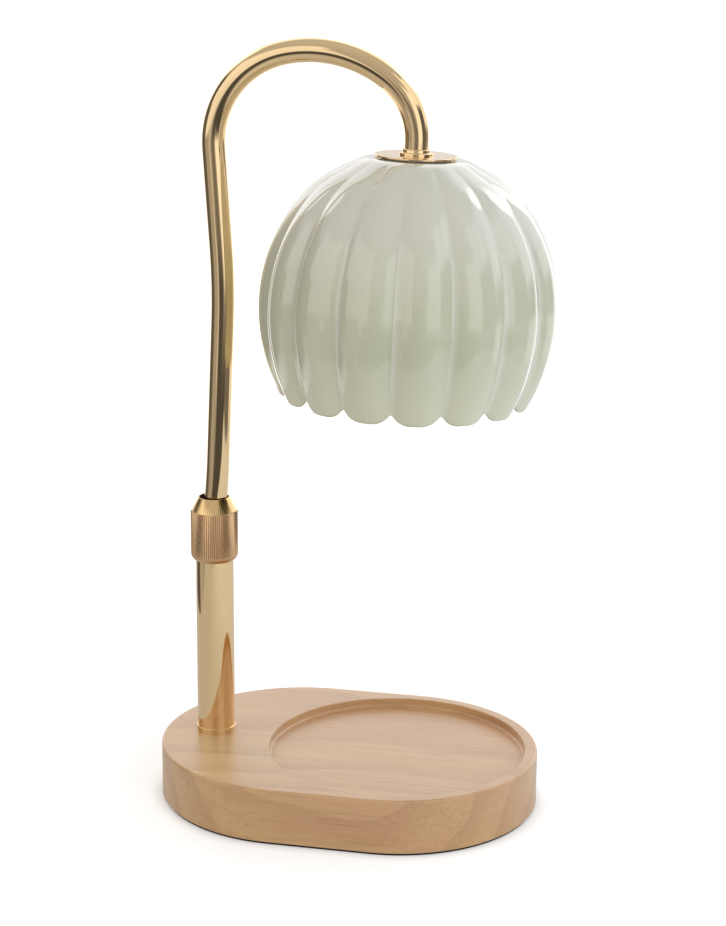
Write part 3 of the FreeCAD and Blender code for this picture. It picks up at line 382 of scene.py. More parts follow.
def soft_box(name, azimuth_degrees, elevation_degrees, distance, width, height, power, colour):
    """A soft light aimed at the lamp, from a side and height in degrees. Metal doesn't mirror it."""
    angle = VIEW_AZIMUTH + math.radians(azimuth_degrees)
    rise = math.radians(elevation_degrees)
    away = Vector((math.sin(angle) * math.cos(rise), -math.cos(angle) * math.cos(rise), math.sin(rise)))
    bpy.ops.object.light_add(type="AREA", location=LAMP_MIDDLE + away * distance)
    light = bpy.context.object
    light.name = name
    light.rotation_euler = away.to_track_quat("Z", "Y").to_euler()
    light.data.shape = "RECTANGLE"
    light.data.size = width
    light.data.size_y = height
    light.data.energy = power
    light.data.color = colour
    light.visible_glossy = False
    light.visible_camera = False


soft_box("key_soft_box", 30, 26, 1.6, 0.9, 1.2, 6.5, (1.0, 1.0, 0.98))
soft_box("fill_soft_box", -62, 30, 1.6, 0.7, 1.2, 3, (1.0, 0.96, 0.88))
soft_box("side_window", 86, 8, 1.6, 0.9, 0.5, 3.5, (0.68, 0.84, 1.0))
soft_box("top_soft_box", 170, 70, 1.5, 1.2, 1.2, 1.5, (1.0, 1.0, 1.0))
soft_box("back_window", -152, 12, 1.6, 0.8, 0.8, 6.5, (1.0, 0.98, 0.94))

bpy.context.scene.view_settings.view_transform = "Standard"

# ---------------------------------------------------------------- wooden base
# One block of pale hardwood with round ends, its edges eased and the surface oiled to a satin.
# A round seat for the candle is milled in the top, and pockets, a channel and holes for the
# wiring and the stud from below and behind. Sizes are in millimetres here and further on.
MM = 0.001
TOLERANCE = 0.01
CHORD_TOLERANCE = 0.1
CRISP_ANGLE = math.radians(32)
END_OFFSET = 21
END_RADIUS = -cad_bounds[0][0] / MM - END_OFFSET
PAD_THICKNESS = 1
BASE_TOP = 24
SEAT_RADIUS = 54.6
SEAT_DEPTH = 3.8
EASED_EDGE = 1.2
SEAT_RIM_EDGE = 0.5
UNDER_EDGE = 0.4
POST_X = -59.1


def choose(piece, kind, test, among=None):
    """Selects the vertices or edges whose middle passes the test, in edit mode."""
    bpy.ops.mesh.select_mode(type=kind)
    bpy.ops.mesh.select_all(action="DESELECT")
    shape = bmesh.from_edit_mesh(piece.data)
    for part in shape.verts if kind == "VERT" else shape.edges:
        corners = [part] if kind == "VERT" else part.verts
        middle = sum((corner.co for corner in corners), Vector()) / len(corners) / MM
        if (among is None or part.index in among) and test(middle):
            part.select_set(True)
    shape.select_flush_mode()
    bmesh.update_edit_mesh(piece.data)


def picked(piece):
    """The numbers of the vertices that are selected."""
    shape = bmesh.from_edit_mesh(piece.data)
    shape.verts.index_update()
    return {vertex.index for vertex in shape.verts if vertex.select}


def select_whole():
    bpy.ops.mesh.select_all(action="SELECT")


def move(x=0, z=0):
    bpy.ops.transform.translate(value=(x * MM, 0, z * MM))


def draw_out(x=0, z=0):
    """Extrudes what is selected, and moves the new part."""
    bpy.ops.mesh.extrude_region_move(TRANSFORM_OT_translate={"value": (x * MM, 0, z * MM)})


def widen(factor):
    """Scales what is selected, away from the Z axis."""
    bpy.ops.transform.resize(value=(factor, factor, 1), center_override=(0, 0, 0))


def round_edges(piece, test, width, segments=3):
    choose(piece, "EDGE", test)
    bpy.ops.mesh.bevel(offset=width * MM, segments=segments, affect="EDGES", clamp_overlap=False)


def start_ring(name, corners, radius):
    """A ring of vertices round the origin, in edit mode, with no vertex on the Y axis."""
    deselect()
    bpy.ops.mesh.primitive_circle_add(vertices=corners, radius=radius * MM, enter_editmode=True)
    piece = bpy.context.object
    piece.name = piece.data.name = name
    bpy.ops.transform.rotate(value=math.pi / corners, orient_axis="Z", center_override=(0, 0, 0))
    return piece


def close_shape(piece):
    """Merges what lies twice, turns the faces outwards and leaves edit mode."""
    bpy.ops.mesh.select_mode(type="VERT")
    select_whole()
    bpy.ops.mesh.remove_doubles(threshold=1e-6)
    bpy.ops.mesh.normals_make_consistent(inside=False)
    bpy.ops.object.mode_set(mode="OBJECT")


def make_active(piece):
    deselect()
    piece.select_set(True)
    bpy.context.view_layer.objects.active = piece


def apply_modifier(piece, kind, **settings):
    make_active(piece)
    made = piece.modifiers.new(kind.lower(), kind)
    for name, value in settings.items():
        setattr(made, name, value)
    bpy.ops.object.modifier_apply(modifier=made.name)


def hollow_out(piece, cutter):
    """Cuts one piece's shape out of another."""
    apply_modifier(piece, "BOOLEAN", object=cutter, operation="DIFFERENCE", solver="EXACT")
    bpy.data.objects.remove(cutter)


def even_shading(piece):
    """Smooth curved faces, crisp edges, and flat faces that stay flat next to a rounded edge."""
    make_active(piece)
    bpy.ops.object.shade_smooth_by_angle(angle=CRISP_ANGLE)
    apply_modifier(piece, "WEIGHTED_NORMAL", keep_sharp=True, weight=80)


def fit(piece, body, slot, material, *replaced):
    """Gives a finished piece its material, the body it moves with and the nodes it stands for."""
    wear(piece, material)
    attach(piece, body)
    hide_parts(*replaced)


def on_outer_edge(at):
    """Whether a point lies on the block's outline, seen from above."""
    return math.hypot(max(abs(at.x) - END_OFFSET, 0), at.y) > END_RADIUS - CHORD_TOLERANCE


def on_seat_rim(at):
    return abs(math.hypot(at.x - END_OFFSET, at.y) - SEAT_RADIUS) < CHORD_TOLERANCE


def start_stadium(name, radius):
    piece = start_ring(name, 192, radius)
    choose(piece, "VERT", lambda at: at.x > 0)
    move(x=END_OFFSET)
    choose(piece, "VERT", lambda at: at.x < 0)
    move(x=-END_OFFSET)
    select_whole()
    return piece


wood_block = start_stadium("wood_block", END_RADIUS)
move(z=PAD_THICKNESS)
draw_out(z=BASE_TOP - PAD_THICKNESS)
draw_out()
inner_share = SEAT_RADIUS / END_RADIUS
widen(inner_share)
seat_rim = picked(wood_block)
choose(wood_block, "VERT", lambda at: at.x < 0, seat_rim)
left_half = picked(wood_block)
move(x=END_OFFSET * (1 + inner_share))
choose(wood_block, "VERT", lambda at: True, seat_rim - left_half)
move(x=END_OFFSET * (1 - inner_share))
choose(wood_block, "VERT", lambda at: True, seat_rim)
draw_out(z=-SEAT_DEPTH)
bpy.ops.mesh.edge_face_add()
choose(wood_block, "VERT", lambda at: at.z < PAD_THICKNESS + TOLERANCE)
bpy.ops.mesh.edge_face_add()
select_whole()
bpy.ops.mesh.normals_make_consistent(inside=False)
round_edges(wood_block, lambda at: at.z > BASE_TOP - TOLERANCE and on_outer_edge(at), EASED_EDGE, 5)
round_edges(wood_block, lambda at: at.z > BASE_TOP - TOLERANCE and on_seat_rim(at), SEAT_RIM_EDGE)
round_edges(wood_block, lambda at: abs(at.z - BASE_TOP + SEAT_DEPTH) < TOLERANCE, EASED_EDGE, 5)
round_edges(wood_block, lambda at: at.z < PAD_THICKNESS + TOLERANCE and on_outer_edge(at), UNDER_EDGE, 1)
close_shape(wood_block)

CEILING = 16
POST_POCKET_RADIUS = 16
WIRING_POCKET = (-48, -12, 0), (-12, 12, CEILING)
INLET_CHANNEL = (-26, 11, 0), (-16, 50, CEILING)
STUD_HOLE_RADIUS = 5.2
INLET_X = -21
INLET_Z = 9.5
INLET_HOLE_RADIUS = 4.5
INLET_HOLE_DEPTH = 11
BACK_OF_BLOCK = 60
OVERRUN = 3


def drill(piece, radius, middle, length, corners=72, tilt=0):
    """Cuts a round hole, upright unless it is tilted round the X axis."""
    deselect()
    bpy.ops.mesh.primitive_cylinder_add(
        vertices=corners,
        radius=radius * MM,
        depth=length * MM,
        location=[value * MM for value in middle],
        rotation=(tilt, 0, 0),
    )
    hollow_out(piece, bpy.context.object)


def mill(piece, low, high):
    """Cuts a square pocket between two opposite corners."""
    deselect()
    middle = [(a + b) / 2 * MM for a, b in zip(low, high)]
    sides = [(b - a) * MM for a, b in zip(low, high)]
    bpy.ops.mesh.primitive_cube_add(size=1, location=middle, scale=sides)
    hollow_out(piece, bpy.context.object)


drill(wood_block, POST_POCKET_RADIUS, (POST_X, 0, CEILING / 2), CEILING)
mill(wood_block, *WIRING_POCKET)
mill(wood_block, *INLET_CHANNEL)
drill(wood_block, STUD_HOLE_RADIUS, (POST_X, 0, (CEILING + BASE_TOP) / 2), BASE_TOP - CEILING + 2)
inlet_y = BACK_OF_BLOCK + (OVERRUN - INLET_HOLE_DEPTH) / 2
inlet_length = INLET_HOLE_DEPTH + OVERRUN
drill(wood_block, INLET_HOLE_RADIUS, (INLET_X, inlet_y, INLET_Z), inlet_length, corners=64, tilt=math.pi / 2)
even_shading(wood_block)

# The grain: growth rings round a heart that lies behind and below the block, bowed along it,
# with fibres and short pores that end as specks on its round ends. Its places are in metres, and
# late wood darkens from the inner side of a ring, at 0, to its outer side, at 1.
HEART = (0.0, 0.035, -0.045)
BOW_MIDDLE = 0.018
BOW_DEPTH = 0.75
RINGS_PER_METRE = 66.7
FIRST_RING = 0.49
LATE_WOOD = {0.0: 0.1, 0.1: 0.0, 0.45: 0.15, 0.7: 0.6, 0.96: 1.0, 1.0: 0.1}

oiled_wood = Finish("oiled_hardwood")
place = oiled_wood.place()


def grain(along, across, detail=2.0, roughness=0.5, offset=(0, 0, 0)):
    """Noise that is drawn out along the block, by how many times it changes in a metre."""
    drawn_out = oiled_wood.stretched(place, (along, across, across), offset)
    return oiled_wood.noise(drawn_out, 1.0, detail, roughness)


sway = grain(9, 24, offset=(0.3, 0.1, 0.7))
ripple = grain(40, 220, 3.0, 0.6)
from_heart = oiled_wood.stretched(place, (1, 1, 1), [-value for value in HEART])
heart_x, heart_y, heart_z = oiled_wood.split(from_heart)
from_bow = heart_x - BOW_MIDDLE
bow = from_bow * from_bow * BOW_DEPTH
ring_radius = (heart_y * heart_y + heart_z * heart_z) ** 0.5 + sway * 0.022 + ripple * 0.0016 - bow
ring_number = ring_radius * RINGS_PER_METRE + FIRST_RING
within_ring = oiled_wood.maths("FRACT", ring_number)
late_wood = oiled_wood.ramp(within_ring, [(share, grey(amount)) for share, amount in LATE_WOOD.items()])
streaks = grain(14, 380, 3.0, 0.55)
fibres = grain(60, 2600)
dark_lines = oiled_wood.smooth_step(grain(26, 1200, offset=(5, 2, 4)), 0.58, 0.70)
pores = oiled_wood.smooth_step(grain(170, 2300, 1.0, offset=(3, 1, 2)), 0.66, 0.74)
clouds = oiled_wood.smooth_step(grain(8, 40), 0.35, 0.65)

wood_colour = oiled_wood.blended(clouds, srgb(208, 167, 112), srgb(204, 157, 113))
for share, colour in (
    (late_wood * 0.50, srgb(178, 128, 84)),
    (oiled_wood.smooth_step(streaks, 0.40, 0.66) * 0.30, srgb(182, 135, 90)),
    (oiled_wood.smooth_step(fibres, 0.3, 0.7) * 0.20, srgb(218, 186, 142)),
    (dark_lines * 0.30, srgb(150, 104, 66)),
    (pores * 0.30, srgb(136, 96, 62)),
):
    wood_colour = oiled_wood.blended(share, wood_colour, colour)
grain_height = 0.6 * fibres + 0.5 * streaks - 1.2 * pores
oiled_hardwood = oiled_wood.principled(
    base_color=wood_colour,
    roughness=0.36 + 0.14 * fibres + 0.1 * pores,
    normal=oiled_wood.bump(grain_height, 0.00008, 0.5),
    ior=1.4,
    coat_weight=1.0,
    coat_roughness=0.35,
)
fit(wood_block, "base", "wood", oiled_hardwood, "base_block")

# ---------------------------------------------------------------- foam pad
# A thin sheet of black closed-cell foam, glued under the block a little inside its edge. It
# covers the wiring and keeps the lamp from sliding.
PAD_INSET = 1
FOAM_EDGE = 0.12
foam_pad = start_stadium("foam_pad", END_RADIUS - PAD_INSET)
bpy.ops.mesh.edge_face_add()
draw_out(z=PAD_THICKNESS)
round_edges(foam_pad, lambda at: at.z > PAD_THICKNESS - TOLERANCE, FOAM_EDGE, 2)
round_edges(foam_pad, lambda at: at.z < TOLERANCE, FOAM_EDGE, 2)
close_shape(foam_pad)
even_shading(foam_pad)

foam = Finish("black_foam")
foam_cells = foam.cells(foam.place(), 2400.0)
foam_dust = foam.noise(foam.place(), 90.0, 3.0)
foam_colour = foam.blended(foam.smooth_step(foam_dust, 0.5, 0.8) * 0.5, srgb(10, 9, 8), srgb(26, 24, 21))
black_foam = foam.principled(
    base_color=foam_colour,
    roughness=0.92,
    normal=foam.bump(foam_cells, 0.00012, 0.6),
)
fit(foam_pad, "base", "pad_black", black_foam, "base_pad")


# ---------------------------------------------------------------- cord inlet
# A black nylon bush with a flange, pressed into its hole in the block's back. The lead passes
# through it, so its bore is smooth and its edges are rounded.
def on_circle(at, radius, height):
    """Whether a point lies on a level circle round the Z axis."""
    return abs(math.hypot(at.x, at.y) - radius) < TOLERANCE and abs(at.z - height) < TOLERANCE


def turned(name, outline, steps=96):
    """A turned piece: its outline, as radius, height and the width of a rounded edge, spun round Z."""
    deselect()
    bpy.ops.mesh.primitive_plane_add(size=0.001, enter_editmode=True)
    piece = bpy.context.object
    piece.name = piece.data.name = name
    bpy.ops.mesh.merge(type="CENTER")
    move(x=outline[0][0], z=outline[0][1])
    for (radius, height, *_), (next_radius, next_height, *_) in zip(outline, outline[1:]):
        step = ((next_radius - radius) * MM, 0, (next_height - height) * MM)
        bpy.ops.mesh.extrude_vertices_move(TRANSFORM_OT_translate={"value": step})
    select_whole()
    bpy.ops.mesh.spin(steps=steps, angle=2 * math.pi, center=(0, 0, 0), axis=(0, 0, 1))
    select_whole()
    bpy.ops.mesh.remove_doubles(threshold=1e-6)
    bpy.ops.mesh.normals_make_consistent(inside=False)
    chord_share = math.cos(math.pi / steps)
    for radius, height, *edge in outline:
        if edge:
            round_edges(piece, lambda at: on_circle(at, radius * chord_share, height), edge[0])
    close_shape(piece)
    return piece


def seat(piece, location=(0, 0, 0), rotation=(0, 0, 0)):
    """Puts a finished piece in its place, given in millimetres, and keeps that place in its mesh."""
    make_active(piece)
    piece.location = [value * MM for value in location]
    piece.rotation_euler = rotation
    bpy.ops.object.transform_apply(location=True, rotation=True, scale=True)


inlet_bush = turned(
    "inlet_bush",
    [
        (3.3, 1.6, 0.5),
        (6.5, 1.6, 0.6),
        (6.5, 0, 0.15),
        (4.5, 0),
        (4.5, -10),
        (3.9, -11.2, 0.2),
        (3.3, -11.2, 0.2),
        (3.3, 1.6),
    ],
    steps=64,
)
seat(inlet_bush, (INLET_X, BACK_OF_BLOCK, INLET_Z), (-math.pi / 2, 0, 0))
even_shading(inlet_bush)

nylon = Finish("moulded_nylon")
spark = nylon.noise(nylon.place(), 1600.0, 2.0)
nylon_colour = nylon.blended(nylon.noise(nylon.place(), 120.0, 2.0), srgb(26, 26, 27), srgb(38, 38, 39))
black_nylon = nylon.principled(
    base_color=nylon_colour,
    roughness=0.42 + 0.12 * spark,
    normal=nylon.bump(spark, 0.00004, 0.5),
)
fit(inlet_bush, "base", "gland_black", black_nylon, "cord_gland")

# ---------------------------------------------------------------- post and foot ring
# A steel tube plated a pale gold and polished, standing on the block over its stud, and a thin
# ring of the same finish that hides the joint with the wood.
POST_RADIUS = 8
POST_BORE = 6.5
POST_TOP = 108
COLLAR_BORE = 8.05
COLLAR_RADIUS = 8.45
COLLAR_TOP = 26.6

post = turned(
    "post",
    [
        (POST_BORE, BASE_TOP),
        (POST_RADIUS, BASE_TOP, 0.1),
        (POST_RADIUS, POST_TOP, 0.3),
        (POST_BORE, POST_TOP, 0.2),
        (POST_BORE, BASE_TOP),
    ],
    steps=144,
)
foot_collar = turned(
    "foot_collar",
    [
        (COLLAR_BORE, BASE_TOP),
        (COLLAR_RADIUS, BASE_TOP),
        (COLLAR_RADIUS, COLLAR_TOP, 0.22),
        (COLLAR_BORE, COLLAR_TOP, 0.08),
        (COLLAR_BORE, BASE_TOP),
    ],
    steps=144,
)
for piece in (post, foot_collar):
    seat(piece, (POST_X, 0, 0))
    even_shading(piece)


def polished_gold(name, pale, deep, shine=0.04):
    """Gold plate with faint drawing lines up the piece, a wiped haze and a tone that wanders."""
    plate = Finish(name)
    lines = plate.noise(plate.stretched(plate.place(), (1500, 1500, 18)), 1.0, 2.0)
    haze = plate.noise(plate.place(), 46.0, 3.0, 0.6)
    specks = plate.smooth_step(plate.noise(plate.place(), 900.0, 1.0), 0.72, 0.80)
    colour = plate.blended(haze, deep, pale)
    roughness = shine + 0.03 * plate.smooth_step(haze, 0.45, 0.75) + 0.02 * lines + 0.1 * specks
    return plate.principled(
        base_color=colour,
        metallic=1.0,
        roughness=roughness,
        normal=plate.bump(lines, 0.000003, 0.5),
    )


gold_plate = polished_gold("polished_gold", srgb(238, 210, 164), srgb(233, 200, 152))
fit(post, "base", "polished_gold", gold_plate, "post_tube")
fit(foot_collar, "base", "polished_gold", gold_plate, "foot_ring")

# ---------------------------------------------------------------- clamp nut
# A brass nut turned and knurled with straight flutes, then satin plated. Its cone is polished.
# It screws over the post's end and closes the collet on the arm.
FLUTES = 72
COLUMNS_PER_FLUTE = 4
NUT_COLUMNS = FLUTES * COLUMNS_PER_FLUTE

# The nut's radius by level where it is knurled, and what each column of a flute is cut down to.
KNURL_RADII = {102.948: 9.70, 103.635: 9.93, 104.3: 10, 122.9: 10}
FLUTE_RADII = {0: 9.65, 1: 9.848, 3: 9.848}

NUT_BORE = 8.05
CONE_FOOT = 123.2
CONE_MOUTH = 6.2

knurled_nut = turned(
    "knurled_nut",
    [
        (NUT_BORE, 101.5),
        (8.35, 101.5, 0.08),
        (8.857, 101.849),
        (9.322, 102.33),
        *[(radius, level) for level, radius in KNURL_RADII.items()],
        (9.65, 123.25),
        (6.75, 128.8),
        (6.55, 129.0),
        (CONE_MOUTH, 129.0, 0.1),
        (CONE_MOUTH, 116.0),
        (5.75, 114.6),
        (7.35, 108.4),
        (NUT_BORE, 108.4),
        (NUT_BORE, 101.5),
    ],
    steps=NUT_COLUMNS,
)


def in_flutes(at, level, column):
    """Whether a vertex of the outside is on a level, and in one of the four columns of a flute."""
    turn = round(math.atan2(at.y, at.x) / (2 * math.pi) * NUT_COLUMNS)
    outside = math.hypot(at.x, at.y) > NUT_BORE + 1
    return outside and abs(at.z - level) < TOLERANCE and turn % COLUMNS_PER_FLUTE == column


make_active(knurled_nut)
bpy.ops.object.mode_set(mode="EDIT")
for column, flute_radius in FLUTE_RADII.items():
    for level, radius in KNURL_RADII.items():
        choose(knurled_nut, "VERT", lambda at: in_flutes(at, level, column))
        widen(min(flute_radius, radius) / radius)
bpy.ops.object.mode_set(mode="OBJECT")
seat(knurled_nut, (POST_X, 0, 0))
make_active(knurled_nut)
bpy.ops.object.shade_smooth_by_angle(angle=math.radians(24))

satin = Finish("satin_gold")
turning_lines = satin.noise(satin.stretched(satin.place(), (60, 60, 2600)), 1.0, 2.0)
satin_haze = satin.noise(satin.place(), 70.0, 2.0)
satin_colour = satin.blended(satin_haze, srgb(208, 169, 128), srgb(220, 183, 142))
nut_place = satin.stretched(satin.place(), (1, 1, 1), (-POST_X * MM, 0, 0))
nut_x, nut_y, nut_z = satin.split(nut_place)
from_axis = (nut_x * nut_x + nut_y * nut_y) ** 0.5
# The mouth's bore is painted a dark brown, painted shade in the hole, and made rougher.
bore = 1 - satin.smooth_step(from_axis, CONE_MOUTH * MM, (CONE_MOUTH + 0.3) * MM)
cone = satin.smooth_step(nut_z, (CONE_FOOT - 0.2) * MM, (CONE_FOOT + 0.2) * MM)
polished_or_satin = satin.blended(cone, satin_colour, srgb(240, 202, 145))
satin_gold = satin.principled(
    base_color=satin.blended(bore, polished_or_satin, srgb(92, 70, 50)),
    metallic=1.0,
    roughness=(0.22 + 0.05 * satin_haze + 0.03 * turning_lines) * (1 - 0.6 * cone) + 0.4 * bore,
    normal=satin.bump(turning_lines, 0.000002, 0.5),
)
fit(knurled_nut, "grip_nut", "satin_gold", satin_gold, "clamp_nut")

# ---------------------------------------------------------------- arm
# One length of gold plated tube, bent like a swan's neck: up out of the collet, leaning in
# towards the shade, over the crown and down into the ferrule. It is left open at both ends.
ARM_RADIUS = 4.875
ARM_WALL = 1.3
ARM_LOWER_END = 40
BEND_STEPS_PER_DEGREE = 0.6

# From the lower end: a straight run's length and 0, or a bend's radius and degrees.
ARM_RUNS = [
    (74.5, 0),
    (115, 5.34),
    (6, 0),
    (300, -2.95),
    (57, 0),
    (300, -6.13),
    (39.74, 0),
    (37.36, 80.17),
    (52.18, 50.05),
    (29.5, 55.62),
    (5.0, 0),
]
swan_arm = start_ring("swan_arm", 72, ARM_RADIUS)
move(x=POST_X, z=ARM_LOWER_END)
arm_x, arm_z, heading = POST_X, ARM_LOWER_END, 0.0
for reach, bend in ARM_RUNS:
    if bend == 0:
        step_x, step_z = reach * math.sin(heading), reach * math.cos(heading)
        draw_out(x=step_x, z=step_z)
    else:
        radius = math.copysign(reach, bend)
        centre_x, centre_z = arm_x + radius * math.cos(heading), arm_z - radius * math.sin(heading)
        bpy.ops.mesh.spin(
            steps=max(4, round(abs(bend) * BEND_STEPS_PER_DEGREE)),
            angle=math.radians(bend),
            center=(centre_x * MM, 0, centre_z * MM),
            axis=(0, -1, 0),
        )
        heading += math.radians(bend)
        step_x = centre_x - radius * math.cos(heading) - arm_x
        step_z = centre_z + radius * math.sin(heading) - arm_z
    arm_x += step_x
    arm_z += step_z
close_shape(swan_arm)
apply_modifier(swan_arm, "SOLIDIFY", thickness=ARM_WALL * MM, offset=-1, use_even_offset=True)
even_shading(swan_arm)
fit(swan_arm, "arm", "polished_gold", gold_plate, "arm_tube")

# ---------------------------------------------------------------- cap and ferrule
# A stepped ferrule closes the arm's end on a thin polished disc, which lies on the glass with a
# soft gasket between. All of the head hangs square to the arm's end, a little off plumb.
HEAD = (25.915, 0, 274.660)
HEAD_TILT = math.radians(2.1)
NIPPLE_HOLE = 3.6
DISC_RADIUS = 16.6
DISC_THICKNESS = 0.8
ARM_HOLE = 4.92
GASKET_RADIUS = 14
GLASS_TOP = -0.5


def seat_on_head(piece):
    seat(piece, HEAD, (0, HEAD_TILT, 0))
    even_shading(piece)
    return piece


cap_disc = seat_on_head(
    turned(
        "cap_disc",
        [
            (NIPPLE_HOLE, 0),
            (DISC_RADIUS, 0, 0.2),
            (DISC_RADIUS, DISC_THICKNESS, 0.25),
            (NIPPLE_HOLE, DISC_THICKNESS),
            (NIPPLE_HOLE, 0),
        ],
        steps=160,
    )
)
ferrule = seat_on_head(
    turned(
        "ferrule",
        [
            (ARM_HOLE, DISC_THICKNESS),
            (6.9, DISC_THICKNESS),
            (6.9, 1.8, 0.3),
            (5.7, 1.8, 0.1),
            (5.7, 3.2, 0.35),
            (ARM_HOLE, 3.2, 0.1),
            (ARM_HOLE, DISC_THICKNESS),
        ],
        steps=128,
    )
)
cap_gold = polished_gold("cap_gold", srgb(236, 204, 160), srgb(228, 192, 150), 0.07)
fit(cap_disc, "arm", "polished_gold", cap_gold, "shade_cap")
fit(ferrule, "arm", "polished_gold", gold_plate, "neck_ferrule")

rubber = Finish("gasket_rubber")
rubber_clouds = rubber.noise(rubber.place(), 300.0, 2.0)
rubber_colour = rubber.blended(rubber_clouds, srgb(206, 204, 198), srgb(222, 221, 216))
soft_rubber = rubber.principled(
    base_color=rubber_colour,
    roughness=0.6 + 0.1 * rubber_clouds,
    normal=rubber.bump(rubber_clouds, 0.00003, 0.5),
)
soft_ring = seat_on_head(
    turned(
        "soft_ring",
        [
            (NIPPLE_HOLE, GLASS_TOP),
            (GASKET_RADIUS, GLASS_TOP, 0.12),
            (GASKET_RADIUS, 0, 0.12),
            (NIPPLE_HOLE, 0),
            (NIPPLE_HOLE, GLASS_TOP),
        ],
    )
)
fit(soft_ring, "arm", "gasket_white", soft_rubber, "cap_gasket")

# ---------------------------------------------------------------- glass shade
# Mould-blown glass in two layers, clear over a milky sage green, pressed into sixteen ribs that
# end in round lobes. It narrows to a flat neck with a hole, held under the cap.
RIBS = 16
COLUMNS_PER_RIB = 16
RIM_COLUMNS = RIBS * COLUMNS_PER_RIB
RIB_START = math.radians(5 - 90)
GLASS_WALL = 4.0
HALF_RIB = 9.87
LOBE_CENTRE = 7.27
LOBE_RADIUS = 7.785

# Depth below the neck, radius on a rib's crest, and how much less it is in the valleys.
PROFILE = [
    (0.0, 5.5, 0.0),
    (0.0, 12.0, 0.0),
    (0.0, 17.0, 0.1),
    (0.0, 21.0, 0.30),
    (2.4, 25.5, 0.54),
    (4.7, 30.0, 0.78),
    (7.1, 34.6, 1.02),
    (9.9, 38.8, 1.29),
    (13.3, 42.6, 1.64),
    (17.1, 46.1, 1.94),
    (21.1, 49.2, 2.16),
    (25.4, 52.0, 2.35),
    (29.9, 54.4, 2.53),
    (34.6, 56.4, 2.69),
    (39.4, 58.1, 2.82),
    (44.3, 59.3, 2.91),
    (49.4, 60.2, 2.99),
    (54.4, 60.8, 3.04),
    (59.5, 61.0, 3.08),
    (64.6, 60.9, 3.12),
    (69.7, 60.4, 3.17),
    (74.7, 59.6, 3.20),
    (79.7, 58.4, 3.20),
    (84.6, 57.0, 3.20),
    (89.4, 55.1, 3.20),
    (94.0, 53.0, 3.20),
    (96.9, 51.5, 3.20),
    (98.5, 50.6, 3.20),
]
# How much of the rim's lobes a ring takes up, by its depth.
FOLLOW = {84.6: 0.06, 89.4: 0.28, 94.0: 0.62, 96.9: 0.87, 98.5: 1.0}


def between(depth):
    """Crest radius and valley depth of the ribs at a depth below the neck."""
    for (above, crest, valley), (below, next_crest, next_valley) in zip(PROFILE, PROFILE[1:]):
        if above < below and depth <= below:
            share = (depth - above) / (below - above)
            return crest + share * (next_crest - crest), valley + share * (next_valley - valley)


def lobe_rise(share):
    """How far the rim stands above its lowest level, from a valley at 0 to a crest at 1."""
    reach = LOBE_CENTRE - share * HALF_RIB
    return max(0.0, LOBE_RADIUS - math.sqrt(LOBE_RADIUS**2 - reach**2)) if reach > 0 else 0.0


def rib_radius(crest, valley, share):
    """Radius of one rib's arc, from 0 at a valley to 1 at the crest between two valleys."""
    if valley == 0:
        return crest
    half = math.pi / RIBS
    low = crest - valley
    centre = (crest**2 - low**2) / (2 * (crest - low * math.cos(half)))
    angle = half * (1 - share)
    return centre * math.cos(angle) + math.sqrt((crest - centre) ** 2 - (centre * math.sin(angle)) ** 2)


def columns_from_valley(at):
    """How many columns of vertices a point is away from the nearest valley."""
    turn = round(math.atan2(at.y, at.x) / (2 * math.pi) * RIM_COLUMNS)
    return min(turn % COLUMNS_PER_RIB, -turn % COLUMNS_PER_RIB)


def ribbed_bowl(name):
    """The shade's outer face, ring by ring from the neck down, with its ribs and lobes."""
    piece = start_ring(name, RIM_COLUMNS, PROFILE[0][1])
    bpy.ops.transform.rotate(value=math.pi / RIM_COLUMNS, orient_axis="Z", center_override=(0, 0, 0))
    move(z=GLASS_TOP)
    crest_column = COLUMNS_PER_RIB // 2
    radii = [PROFILE[0][1]] * (crest_column + 1)
    rises = [0.0] * (crest_column + 1)
    for (above, _, _), (depth, crest, valley) in zip(PROFILE, PROFILE[1:]):
        draw_out(z=above - depth)
        ring = picked(piece)
        for column, (radius, risen) in enumerate(zip(radii, rises)):
            share = column / crest_column
            rises[column] = FOLLOW.get(depth, 0) * lobe_rise(share)
            # A lifted column takes the radii of the height it is lifted to. The crest's own columns
            # aren't lifted, and keep the last of these, which are within 0.05 mm of theirs.
            if rises[column]:
                crest, valley = between(depth - rises[column])
            radii[column] = rib_radius(crest, valley, share)
            choose(piece, "VERT", lambda at: columns_from_valley(at) == column, ring)
            widen(radii[column] / radius)
            move(z=rises[column] - risen)
        choose(piece, "VERT", lambda at: True, ring)
    return piece


ribbed_shade = ribbed_bowl("ribbed_shade")
close_shape(ribbed_shade)
apply_modifier(ribbed_shade, "SOLIDIFY", thickness=GLASS_WALL * MM, offset=-1, use_even_offset=True)
apply_modifier(ribbed_shade, "SUBSURF", levels=1, render_levels=1)
make_active(ribbed_shade)
bpy.ops.object.shade_smooth()
seat(ribbed_shade, rotation=(0, 0, RIB_START))
seat(ribbed_shade, HEAD, (0, HEAD_TILT, 0))


def place_on_head(finish):
    """The point of the surface in the head's own frame, in metres."""
    centre = [value * MM for value in HEAD]
    values = {"Vector": finish.place(), "Location": centre, "Rotation": (0, HEAD_TILT, 0)}
    return finish.node("ShaderNodeMapping", {"vector_type": "TEXTURE"}, values)


sage = Finish("cased_sage_glass")
head_place = place_on_head(sage)
head_x, head_y, head_z = sage.split(head_place)
